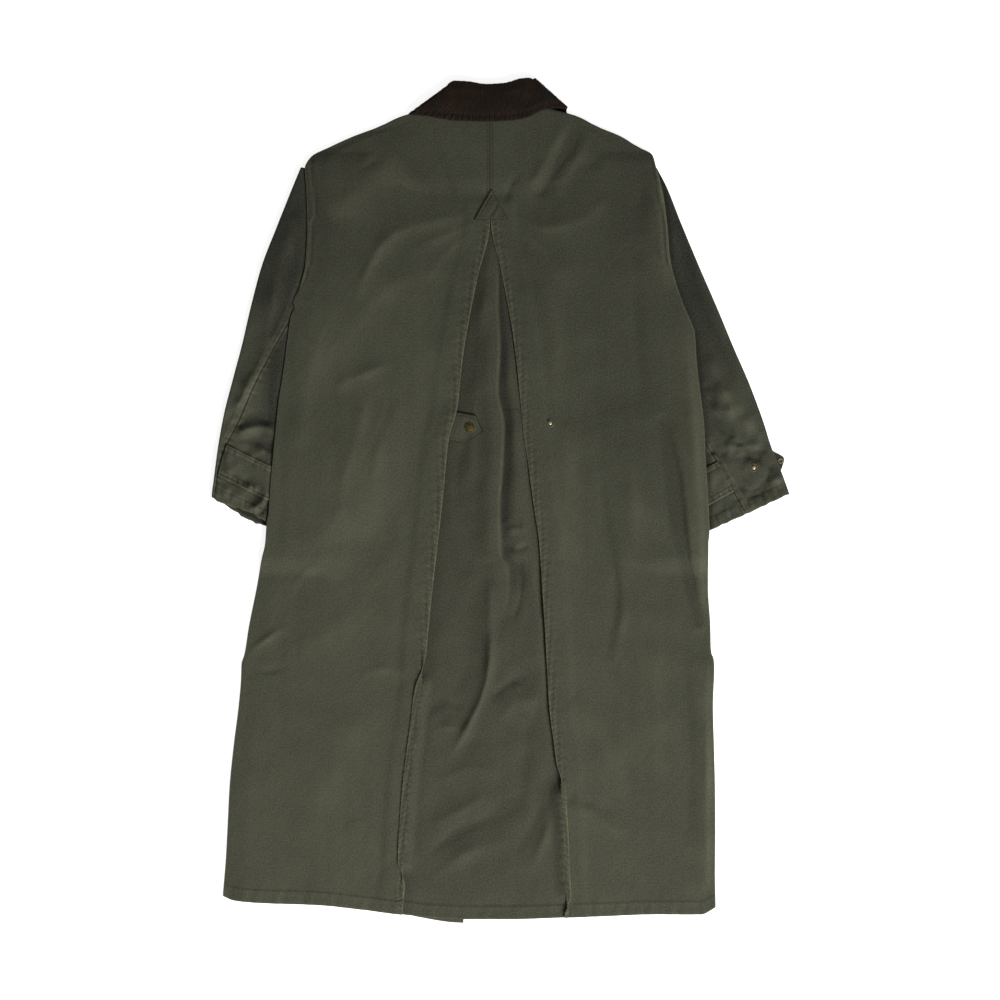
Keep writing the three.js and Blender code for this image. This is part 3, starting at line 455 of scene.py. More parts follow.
def grid_object(name, points, faces, uv, marks):
    """An object from arrays of points and four-sided faces, turned outwards, with its map and its marks."""
    corners = points[faces]
    first = np.cross(corners[:, 1] - corners[:, 0], corners[:, 2] - corners[:, 0])
    second = np.cross(corners[:, 2] - corners[:, 0], corners[:, 3] - corners[:, 0])
    if (corners[:, 0] * (first + second)).sum() < 0:
        faces = faces[:, ::-1]
    mesh = bpy.data.meshes.new(name)
    mesh.vertices.add(len(points))
    mesh.vertices.foreach_set("co", points.astype(np.float32).ravel())
    mesh.loops.add(faces.size)
    mesh.loops.foreach_set("vertex_index", faces.astype(np.int32).ravel())
    mesh.polygons.add(len(faces))
    mesh.polygons.foreach_set("loop_start", np.arange(0, faces.size, 4, dtype=np.int32))
    mesh.polygons.foreach_set("use_smooth", np.ones(len(faces), bool))
    mesh.update(calc_edges=True)
    layer = mesh.uv_layers.new(name="cloth")
    layer.data.foreach_set("uv", uv[faces.ravel()].astype(np.float32).ravel())
    for key, value in marks.items():
        mark = mesh.attributes.new(key, "FLOAT", "POINT")
        mark.data.foreach_set("value", np.clip(value, 0, 1).astype(np.float32))
    if mesh.validate():
        raise RuntimeError(f"{name} has faulty faces")
    obj = bpy.data.objects.new(name, mesh)
    bpy.context.scene.collection.objects.link(obj)
    pieces[name] = obj
    return obj


def lengths(middle):
    """The place in the cloth, in metres: distances along the columns and along the rows."""
    across = np.linalg.norm(np.diff(middle, axis=1, prepend=middle[:, :1]), axis=-1).cumsum(axis=1)
    along = np.linalg.norm(np.diff(middle, axis=0, prepend=middle[:1]), axis=-1).cumsum(axis=0)
    return np.stack([across, along], -1) * MM


def fade_and_shade(x, y):
    """How light the cloth is: painted shade in the broad patches, painted shade towards the collar and right of the
    centre, painted light left of it, and soft random fading.
    """
    deep = np.zeros(np.shape(x))
    for px, py, wide, high, share in zip(*shade_patches.values()):
        deep = 1 - (1 - deep) * (1 - share * np.exp(-(((x - px) / wide) ** 2 + ((y - py) / high) ** 2)))
    return np.clip(0.9 - deep - 0.0013 * np.maximum(x, 0) + 0.0006 * np.maximum(-x, 0) - 0.3 * ease((y + 150) / 700) + ripples(x, y, 5, 70, 260, 0.02), 0, 1)


def sleeve_rise(x, y, side, ramp):
    """Height of what lies over the sleeve: full as far as the sleeve's inner fold, then down over a ramp."""
    rows = left_cover if side < 0 else right_cover
    inside = side * (curve(rows, "y", "x", y) - x)
    return curve(rows, "y", "rise", y) * ease(1 - inside / ramp)


def neck_rise(y):
    return NECK_LIFT * ease((y - 455) / 30)


def front_base(x, y, side):
    """Underside of a front: over the sleeve, on the surface, or over the collar's ends."""
    return np.maximum(neck_rise(y), sleeve_rise(x, y, side, FRONT_RAMP))


def back_base(x, y, side):
    """Underside of the back: over the fronts, over the underlay by the pleat, in wide soft slopes."""
    rows = left_cover if side < 0 else right_cover
    hinge = left_hinge if side < 0 else right_hinge
    inside = side * (curve(rows, "y", "x", y) - x)
    low = curve(rows, "y", "rise", y + 14)
    wide = np.maximum(low, 0) * ease(1 - inside / BACK_RAMP)
    base = np.maximum(np.maximum(neck_rise(y), wide), front_base(x, y, side))
    lift = lerp(LAYER, INNER_LIFT, ease((inside + 40) / 80))
    near = side * (x - curve(hinge, "y", "x", y))
    over_underlay = LAYER * ease((36 - near) / 14) * ease((UNDERLAY_TOP + 12 - y) / 18)
    return base + lift + NECK_SPACE * ease((y - 455) / 30) + over_underlay


def follow_hem(x, y, hem):
    return y + curve(hem_share, "y", "share", y) * (curve(hem, "x", "y", x) - HEM_LEVEL)


def edge_of(side):
    return left_edge if side < 0 else right_edge


def slot_finish(piece, slot, material, *nodes):
    """Gives a piece its finish and its place in the frame."""
    piece.data.materials.append(material)
    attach(piece, "root")
    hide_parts(*nodes)


# Materials


class Number:
    """A number in a material: arithmetic on it adds the nodes that work it out."""

    def __init__(self, finish, socket):
        self.finish = finish
        self.socket = socket

    def math(self, operation, first, second):
        return self.finish.node("ShaderNodeMath", {"operation": operation}, {0: first, 1: second})

    def __add__(self, other):
        return self.math("ADD", self, other)

    def __sub__(self, other):
        return self.math("SUBTRACT", self, other)

    def __rsub__(self, other):
        return self.math("SUBTRACT", other, self)

    def __mul__(self, other):
        return self.math("MULTIPLY", self, other)

    def __pow__(self, other):
        return self.math("POWER", self, other)

    __radd__ = __add__
    __rmul__ = __mul__


class Finish:
    """A material with one shader, built by adding nodes."""

    def __init__(self, name, constants):
        self.material = bpy.data.materials.new(name)
        self.material.use_nodes = True
        self.tree = self.material.node_tree
        self.shader = self.tree.nodes["Principled BSDF"]
        for key, value in constants.items():
            self.shader.inputs[key].default_value = value

    def node(self, kind, settings=None, inputs=None, output=0):
        """Adds a node: its settings first, then the values or links of its sockets."""
        node = self.tree.nodes.new(kind)
        settings = dict(settings or {})
        stops = settings.pop("stops", [])
        for key, value in settings.items():
            setattr(node, key, value)
        for i, (place, shade) in enumerate(stops):
            stop = node.color_ramp.elements[i] if i < 2 else node.color_ramp.elements.new(place)
            stop.position = place
            stop.color = (shade, shade, shade, 1)
        for key, value in (inputs or {}).items():
            if isinstance(value, Number):
                self.tree.links.new(value.socket, node.inputs[key])
            else:
                node.inputs[key].default_value = value
        return Number(self, node.outputs[output])

    def noise(self, place, scale, detail=2.0, rough=0.5):
        return self.node("ShaderNodeTexNoise", {}, {
            "Vector": place, "Scale": scale, "Detail": detail, "Roughness": rough})

    def ramp(self, value, low, high):
        """A number taken from 0 to 1 between two bounds, held at the ends."""
        return self.node("ShaderNodeMapRange", {"interpolation_type": "SMOOTHSTEP"}, {
            "Value": value, "From Min": low, "From Max": high})

    def mix(self, share, first, second, blend="MIX"):
        return self.node("ShaderNodeMix", {"data_type": "RGBA", "blend_type": blend}, {
            0: share, 6: first, 7: second}, 2)

    def mark(self, name):
        return self.node("ShaderNodeAttribute", {"attribute_name": name}, output="Fac")

    def bump(self, height, strength, distance):
        return self.node("ShaderNodeBump", {}, {"Height": height, "Strength": strength, "Distance": distance})

    def feed(self, name, value):
        self.tree.links.new(value.socket, self.shader.inputs[name])


def scaled(colour, share):
    return tuple(c * share for c in colour[:3]) + (1.0,)


def twill_finish(name, colour, shade_share):
    """Washed twill: diagonal ribs of yarn, cloudy fading, paler rubbed edges, painted shade and painted highlights
    from its marks, and a dry surface.
    """
    f = Finish(name, {"Specular IOR Level": 0.22, "Sheen Weight": 0.03, "Sheen Roughness": 0.5})
    cool = (colour[0] * 0.94, colour[1] * 1.00, colour[2] * 1.10, 1)
    warm = (colour[0] * 1.06, colour[1] * 1.00, colour[2] * 0.92, 1)
    place = f.node("ShaderNodeTexCoord", output="Object")
    cloth = f.node("ShaderNodeUVMap", {"uv_map": "cloth"})
    drift = f.ramp(f.noise(cloth, 230.0, 3.0, 0.6), 0.36, 0.64)
    drawn = f.node("ShaderNodeVectorMath", {"operation": "MULTIPLY"}, {0: place, 1: (1.5, 0.6, 1.0)})
    clouds = f.noise(drawn, 24.0, 8.0, 0.7)
    rubs = f.ramp(f.noise(place, 85.0, 4.0, 0.7), 0.45, 0.75)
    mottle = f.noise(cloth, 360.0, 3.0, 0.7)
    fibre = f.noise(cloth, 640.0, 2.0, 0.7)
    ribs = f.node("ShaderNodeTexWave", {"bands_direction": "DIAGONAL"}, {
        "Vector": cloth, "Scale": 470.0, "Distortion": 1.6, "Detail": 2.0, "Detail Scale": 1.4})
    grain = f.ramp(0.55 * mottle + 0.45 * fibre, 0.36, 0.64)
    flecks = f.ramp(f.noise(cloth, 300.0, 3.0, 0.7), 0.64, 0.76)
    base = f.mix(drift, cool, warm)
    worn = 0.5 * clouds + 0.45 * f.noise(drawn, 8.0, 4.0, 0.55) - 0.475
    # Painted shade from the marks, towards the cloth's darkest colour, mixed with cloudy fading
    base = f.mix(f.mark("fade_and_shade") + worn, scaled(colour, shade_share), base)
    base = f.mix(grain, f.mix(0.28, base, DARK), f.mix(0.09, base, PALE))
    base = f.mix(0.16 * flecks, base, PALE)
    # Paler where rubbed, and painted highlights where the marks put them on crests
    base = f.mix(f.mark("wear") * (0.4 + 0.6 * rubs), base, (colour[0] * 2.6, colour[1] * 2.5, colour[2] * 2.5, 1))
    # Darker along the stitching, and painted shade where the marks put it in troughs and outlines
    base = f.mix(0.85 * f.mark("seam"), base, scaled(colour, 0.22))
    base = f.mix(0.12 * ribs, base, scaled(colour, 0.5))
    f.feed("Base Color", base)
    f.feed("Roughness", 0.84 + 0.12 * fibre)
    f.feed("Normal", f.bump(ribs + 0.7 * fibre + 1.5 * mottle, 0.5, 0.0003))
    return f.material


DARK = (0.0, 0.0, 0.0, 1.0)
PALE = (0.30, 0.30, 0.26, 1.0)


def corduroy_finish(name, colour):
    """Cut pile in wales: painted shade between them, brushed and a little paler on top and at worn edges."""
    f = Finish(name, {"Specular IOR Level": 0.18, "Sheen Weight": 0.05, "Sheen Roughness": 0.4})
    cloth = f.node("ShaderNodeUVMap", {"uv_map": "cloth"})
    place = f.node("ShaderNodeTexCoord", output="Object")
    pile = f.noise(cloth, 1100.0, 3.0, 0.75)
    brush = f.ramp(f.noise(place, 30.0, 4.0, 0.6), 0.42, 0.75)
    dots = f.ramp(f.noise(place, 330.0, 2.0, 0.6), 0.42, 0.62)
    wale = f.mark("wale")
    # Painted shade in the valleys between the wales
    base = f.mix(wale ** 1.3, scaled(colour, 0.3), colour)
    base = f.mix(0.9 * brush * wale, base, (colour[0] * 2.8, colour[1] * 1.95, colour[2] * 1.5, 1))
    base = f.mix(f.mark("wear") * (0.4 + 0.6 * pile), base, (colour[0] * 2.3, colour[1] * 2.0, colour[2] * 1.7, 1))
    base = f.mix(0.35 * pile + 0.45 * dots, base, scaled(colour, 0.3))
    # Darker along the stitching, and painted shade in the pucker troughs
    base = f.mix(0.75 * f.mark("seam"), base, scaled(colour, 0.2))
    f.feed("Base Color", base)
    f.feed("Roughness", 0.82 + 0.15 * pile)
    f.feed("Normal", f.bump(pile, 0.6, 0.0003))
    return f.material


def thread_finish(name, colour):
    """Twisted sewing thread: fine slanting plies over a slightly mixed shade."""
    f = Finish(name, {"Specular IOR Level": 0.3})
    cloth = f.node("ShaderNodeUVMap", {"uv_map": "cloth"})
    place = f.node("ShaderNodeTexCoord", output="Object")
    plies = f.node("ShaderNodeTexWave", {"bands_direction": "DIAGONAL"}, {"Vector": cloth, "Scale": 900.0})
    shade = f.noise(place, 240.0, 2.0)
    base = f.mix(0.55 * plies, colour, scaled(colour, 0.5))
    f.feed("Base Color", f.mix(0.6 * shade, base, scaled(colour, 0.7)))
    f.feed("Roughness", 0.65 + 0.2 * shade)
    f.feed("Normal", f.bump(plies, 0.4, 0.00008))
    return f.material


def brass_finish(name, colour, tarnish_share):
    """Aged brass: brown tarnish in clouds and in the hollows, rubbed bright on top, finely scratched."""
    f = Finish(name, {})
    place = f.node("ShaderNodeTexCoord", output="Object")
    clouds = f.ramp(f.noise(place, 420.0, 4.0, 0.65), 0.35, 0.7)
    scratches = f.noise(place, 2600.0, 2.0, 0.6)
    rubbed = f.mark("wear")
    tarnish = f.ramp(clouds * tarnish_share + 1.3 - tarnish_share - 0.8 * rubbed, 0.0, 1.0)
    base = f.mix(tarnish, colour, (colour[0] * 0.05, colour[1] * 0.05, colour[2] * 0.04, 1))
    f.feed("Base Color", f.mix(0.25 * scratches, base, scaled(colour, 0.6)))
    f.feed("Metallic", 1 - 0.45 * tarnish)
    f.feed("Roughness", 0.3 + 0.3 * tarnish + 0.12 * scratches)
    f.feed("Normal", f.bump(scratches + 0.6 * clouds, 0.25, 0.00005))
    return f.material


def floor_finish(name, colour, glow):
    """A plain pale floor, lit a little from within so that it stays clean and white."""
    f = Finish(name, {"Roughness": 0.85, "Emission Strength": glow})
    place = f.node("ShaderNodeTexCoord", output="Object")
    grain = f.noise(place, 3.0, 2.0)
    f.feed("Base Color", f.mix(0.04 * grain, colour, scaled(colour, 0.9)))
    f.shader.inputs["Emission Color"].default_value = (1, 1, 1, 1)
    return f.material


def finish_of(name, make, *values):
    """A finish is made once and shared by the pieces that have it."""
    return bpy.data.materials.get(name) or make(name, *values)


def cloth_of(name):
    c = bpy.context.scene.coat_colours
    shades = {"twill_body": (c.body, c.deep), "twill_sleeve": (c.sleeve, 0.2), "twill_underlay": (c.underlay, 0.36)}
    colour, deep = shades[name]
    return finish_of(f"washed_{name}", twill_finish, tuple(colour) + (1.0,), deep)


# Body panels


def hem_layers(v):
    """Half thickness of the turned hem at a height above its edge, with a groove along its stitching."""
    turned = lerp(CLOTH / 2, HEM_HALF, ease((HEM_DEPTH + 0.8 - v) / 1.4))
    return turned - 0.22 * np.exp(-(((v - HEM_STITCH) / 1.1) ** 2))


def hem_marks(v):
    """Wear of the hem: palest at its edge."""
    return 0.4 * np.exp(-((v / 2.0) ** 2)) + 0.1 * np.exp(-(((v - HEM_STITCH + 3) / 2.5) ** 2))


def hem_seam(v):
    """Dark line of the hem's stitching."""
    return 0.55 * np.exp(-(((v - HEM_STITCH) / 1.1) ** 2))


def hem_waves(x, v, seed):
    """Puckers of the hem: strongest at the stitching, softer at the edge and above."""
    waves = pucker(x + 0.3 * v, seed, 8.5)
    slow = pucker(x - 0.2 * v, seed + 1, 26.0)
    at_stitch = np.exp(-(((v - HEM_STITCH + 4) / 11) ** 2))
    return 0.5 * waves * at_stitch + 0.65 * slow * np.exp(-((v / 18) ** 2))


HEM_STEPS = [0, 0.15, 0.45, 0.9, 1.8, 4, 7, 10, 13, 16, 18, 19, 19.7, 20.3, 21, 21.7, 22.4, 23.5, 25.5]
TOP_STEPS = [0, 0.2, 0.5, 1.0]
EDGE_STEPS = np.array([0, 0.15, 0.45, 0.9, 1.8, 3.4, 5.6, 8.4])
HINGE_STEPS = np.array([-5.0, -3.2, -1.8, -0.8, 0.0])
LIP_STEPS = np.array([0.9, 1.8, 2.7, 3.6, 4.6, 5.6, 6.5, 7.1, 7.5, 7.8, 7.95, 8.0])


def back_height(x, y, v, side, from_edge, from_hinge):
    """Middle of a back panel: its underside, the loft of loose cloth, its folds and the swell beside the pleat."""
    base = back_base(x, v, side)
    loft = 2.2 * ease(from_edge / 34) * ease((NECK_LEVEL - v) / 60)
    swell = 1.5 * np.exp(-((from_hinge / 34) ** 2)) * ease((390 - v) / 120) * ease((v + 560) / 120)
    soft = (relief(x, y, back_folds, 3, BACK_GAIN) + ripples(x, 0.45 * y, 7, 60, 190, 0.6)
            + ripples(x, 0.6 * y, 8, 22, 60, 0.2) + ripples(x, y, 9, 11, 24, 0.05))
    tab_end = 0.0
    if side < 0:
        tab_end = 2.3 * np.exp(-(((v - 112) / 30) ** 4)) * np.exp(-((from_hinge / 15) ** 2))
    soft = soft * ease((from_edge - 1) / 14) + tab_end
    return np.maximum(base + loft + swell + soft, base + 0.05) + CLOTH / 2


def lip_puckers(v, wander, side):
    """Heights of the puckers that the pleat's edge stitching draws up: close ones and slow ones."""
    return 0.5 * pucker(v + 0.35 * wander, 20 + side, 5.2), 0.4 * pucker(v + 0.2 * wander, 24 + side, 17.0)


def back_panel(side):
    """One half of the back: outer edge to the pleat's hinge, then the edge-stitched lip that turns about it.

    Across, a point lies at its own distance from the edge and from the hinge. Beyond the hinge the section
    is an arc of the lip's angle and then a straight run, so the lip lies flat, stands or turns over.
    """
    v = levels(HEM_LEVEL, NECK_LEVEL, STEP, HEM_STEPS, TOP_STEPS)[:, None]
    hinge = left_hinge if side < 0 else right_hinge
    turn = left_turn if side < 0 else right_turn
    edge_x = curve(edge_of(side), "y", "x", v)
    hinge_x = curve(hinge, "y", "x", v)
    width = np.abs(hinge_x - edge_x)
    even = np.linspace(0, 1, 82)
    offset = np.concatenate([EDGE_STEPS, lerp(EDGE_STEPS[-1], HINGE_STEPS[0], even)[1:-1], HINGE_STEPS])
    share = np.concatenate([np.zeros(len(EDGE_STEPS)), even[1:-1], np.ones(len(HINGE_STEPS))])
    flat = offset[None] + share[None] * width
    angle = math.pi * curve(turn, "y", "turns", v)
    reach = LIP + LIP_RADIUS * angle
    lip = LIP_STEPS[None] / LIP * reach
    bend = np.minimum(lip, LIP_RADIUS * angle)
    arc = bend / LIP_RADIUS
    run = lip - bend
    out = LIP_RADIUS * np.sin(arc) + run * np.cos(angle)
    up = LIP_RADIUS * (1 - np.cos(arc)) + 0.12 * run * np.sin(angle)
    x_flat = edge_x - side * flat
    x = np.concatenate([x_flat, hinge_x - side * out], axis=1)
    base_x = np.concatenate([x_flat, hinge_x - side * lip * (np.cos(angle) > 0)], axis=1)
    y = follow_hem(x, v, back_hem)
    above = (v - HEM_LEVEL) * np.ones_like(x)
    from_edge = np.concatenate([flat, width + lip], axis=1)
    from_lip = np.concatenate([np.full_like(flat, 100.0), reach - lip], axis=1)
    from_hinge = np.concatenate([width - flat, lip], axis=1)
    ends = np.minimum(above, NECK_LEVEL - v)
    pleat = ease((APEX_LEVEL + 10 - v) / 30)
    ridge = lerp(CLOTH / 2, LIP_HALF, ease((APEX_LEVEL - v) / 40))
    lip_half = lerp(CLOTH / 2, ridge, ease((lip - 0.6) / 1.6))
    half = np.concatenate([np.full_like(flat, CLOTH / 2), lip_half], axis=1) + hem_layers(above) - CLOTH / 2
    wander = np.concatenate([width - flat, -lip], axis=1)
    ladder, slow = lip_puckers(v, wander, side)
    on_lip = np.concatenate([np.exp(-(((width - flat) / 5) ** 2)), np.ones_like(lip)], axis=1)
    puckers = (ladder * on_lip + slow * np.exp(-((from_hinge / 11) ** 2))) * pleat
    groove = -0.08 * np.exp(-((from_hinge / 1.2) ** 2)) * pleat
    centre_rows = np.exp(-(((from_hinge - 3.7) / 1.1) ** 2)) * (1 - pleat) * (from_lip < 50)
    armhole, seam_dark = armhole_relief(x, y, side)
    z = back_height(base_x, y, v, side, from_edge, from_hinge) + hem_waves(x, above, 30 + side)
    z = z + puckers + groove - 0.25 * centre_rows + armhole
    z[:, -len(LIP_STEPS):] += up
    half = half * edge_half(from_edge, 1, EDGE_ROUND) * edge_half(from_lip, 1, 0.9) * edge_half(ends, 1, EDGE_ROUND)
    edge_roll = 0.55 * np.exp(-((from_edge / 2.2) ** 2))
    middle = np.stack([x, y, z - edge_roll], -1)
    # Wear of the edges, the lip and the hem, with painted highlights on the crests of the lip's puckers
    wear = (0.7 * np.exp(-((from_edge / 1.5) ** 2)) + 1.1 * np.exp(-((from_lip / 1.5) ** 2)) * pleat
            + 0.9 * np.clip(ladder, 0, 1) * on_lip * pleat + hem_marks(above) + 0.3 * np.clip(armhole, 0, 1))
    # Stitching lines, with painted shade in the troughs of the lip's puckers
    seam = (hem_seam(above) + seam_dark + 0.6 * centre_rows
            + 0.9 * np.exp(-((from_lip / 1.2) ** 2)) * (1 - pleat) + 1.1 * np.clip(-ladder, 0, 1) * on_lip * pleat)
    # Painted light and shade of the folds: crests made paler, troughs darker
    fold_shading = 0.08 * relief(x, y, back_folds, 3, BACK_GAIN) + 0.02 * ripples(x, 0.6 * y, 8, 22, 60, 1.0)
    marks = {"wear": wear + 0.6 * np.clip(fold_shading, 0, 0.2), "seam": seam, "fade_and_shade": fade_and_shade(x, y) + fold_shading}
    uv = np.stack([x, y], -1) * MM
    if side > 0:
        middle, half, uv = middle[:, ::-1], half[:, ::-1], uv[:, ::-1]
        marks = {key: value[:, ::-1] for key, value in marks.items()}
    name = "back_left" if side < 0 else "back_right"
    return cloth_mesh(f"{name}_cloth", middle, half, uv, marks)


def armhole_relief(x, y, side):
    """The sewn armhole: a raised seam beside its line, puckered, with the line sunk a little."""
    line = ARMHOLE_LEFT if side < 0 else ARMHOLE_RIGHT
    away, share, length = line_distance(x, y, line)
    outer = side * (x - np.interp(y, *np.array(line)[::-1, ::-1].T))
    place = share * length
    ends = ease(12 * share) * ease(12 * (1 - share))
    bars = pucker(place, 33 + side, 8.0)
    raised = 0.8 * np.exp(-(((outer - 5) / 4.0) ** 2)) + 0.4 * bars * np.exp(-((away / 7) ** 2))
    line_mark = np.exp(-((away / 1.3) ** 2))
    return ends * (raised - 0.6 * line_mark), 0.9 * ends * line_mark


def front_panel(side):
    """A front beneath the back: outer edge to its own edge past the centre, narrowing to the neckline."""
    v = levels(HEM_LEVEL, NECK_LEVEL, FRONT_STEP, HEM_STEPS[:8], [0, 0.5, 1.2])
    v = np.unique(np.concatenate([v, np.arange(498, 520, 1.5)]))[:, None]
    edge_x = curve(edge_of(side), "y", "x", v)
    centre = lerp(CENTRE, -45.7, ease((597 - v) / 1200))
    own_edge = centre - 9
    out = curve(neckline, "y", "out", v)
    if side < 0:
        inner = np.where(v > 505, np.minimum(CENTRE - out, own_edge), own_edge)
    else:
        overlap = own_edge - FRONT_OVERLAP
        inner = np.where(v > 498, lerp(overlap, CENTRE + out, ease((v - 498) / 12)), overlap)
    width = np.abs(inner - edge_x)
    even = np.linspace(0, 1, 32)
    offset = np.concatenate([EDGE_STEPS, lerp(EDGE_STEPS[-1], -4, even)[1:-1], -EDGE_STEPS[:5][::-1]])
    share = np.concatenate([np.zeros(len(EDGE_STEPS)), even[1:-1], np.ones(5)])
    flat = offset[None] + share[None] * width
    x = edge_x - side * flat
    y = follow_hem(x, v, left_front_hem if side < 0 else right_front_hem)
    over = LAYER * ease((own_edge + 32 - x) / 28) if side > 0 else 0
    above = (v - HEM_LEVEL) * np.ones_like(x)
    half = np.full_like(x, CLOTH / 2)
    edge_curl = 0.35 * np.exp(-((flat / 2.2) ** 2))
    z = front_base(x, v, side) + over + half + edge_curl
    half = (half * edge_half(flat, 1, EDGE_ROUND) * edge_half(width - flat, 1, EDGE_ROUND)
            * edge_half(np.minimum(above, NECK_LEVEL - v), 1, EDGE_ROUND))
    middle = np.stack([x, y, z], -1)
    marks = {"wear": 0.5 * np.exp(-((above / 2) ** 2)) + 0.4 * np.exp(-(((width - flat) / 2) ** 2)),
             "seam": hem_seam(above), "fade_and_shade": fade_and_shade(x, y)}
    uv = np.stack([x, y], -1) * MM
    if side > 0:
        middle, half, uv = middle[:, ::-1], half[:, ::-1], uv[:, ::-1]
        marks = {key: value[:, ::-1] for key, value in marks.items()}
    name = "front_left" if side < 0 else "front_right"
    return cloth_mesh(f"{name}_cloth", middle, half, uv, marks)


def underlay_soft(x, v):
    return relief(x, v, underlay_folds, 11, 1.7) + ripples(x, v, 12, 40, 120, 0.4) + ripples(x, v, 13, 16, 44, 0.1)


def underlay_height(x, v):
    """Underside of the pleat's underlay: a sharp crest with a slope beside it, and soft folds between the lips."""
    fold = curve(fold_line, "y", "x", v)
    crest = curve(fold_line, "y", "crest", v)
    slope = curve(fold_line, "y", "slope", v)
    left = x - curve(left_hinge, "y", "x", v)
    right = curve(right_hinge, "y", "x", v) - x
    inside = ease((np.minimum(left, right) - 4) / 22)
    past = x - fold
    top = 1.5 * crest * np.where(past < 0, np.exp(-(((past + 13) / 17) ** 2)), 0.56 * np.exp(-((past / 1.6) ** 2)))
    run = np.maximum(curve(right_hinge, "y", "x", v) - fold, 8)
    rising = 1.3 * slope * (ease(past / (0.45 * run)) - 0.35 * ease((past - 0.45 * run) / (0.5 * run))) * (past > 0)
    soft = 1.4 + underlay_soft(x, v)
    low = 0.5 * ease(np.minimum(left, right) / 20)
    near_fold = ease((np.minimum(left, right) + 1) / 6)
    return INNER_LIFT + np.maximum(inside * soft + near_fold * top + rising * ease((right - 2) / 10) + low, 0)


def lip_top(v, side):
    """Top of the lip where it has turned over onto its panel, along its hinge."""
    hinge = curve(left_hinge if side < 0 else right_hinge, "y", "x", v)
    width = np.abs(hinge - curve(edge_of(side), "y", "x", v))
    return back_height(hinge, follow_hem(hinge, v, back_hem), v, side, width, 0 * v) + 2 * LIP_RADIUS + LIP_HALF


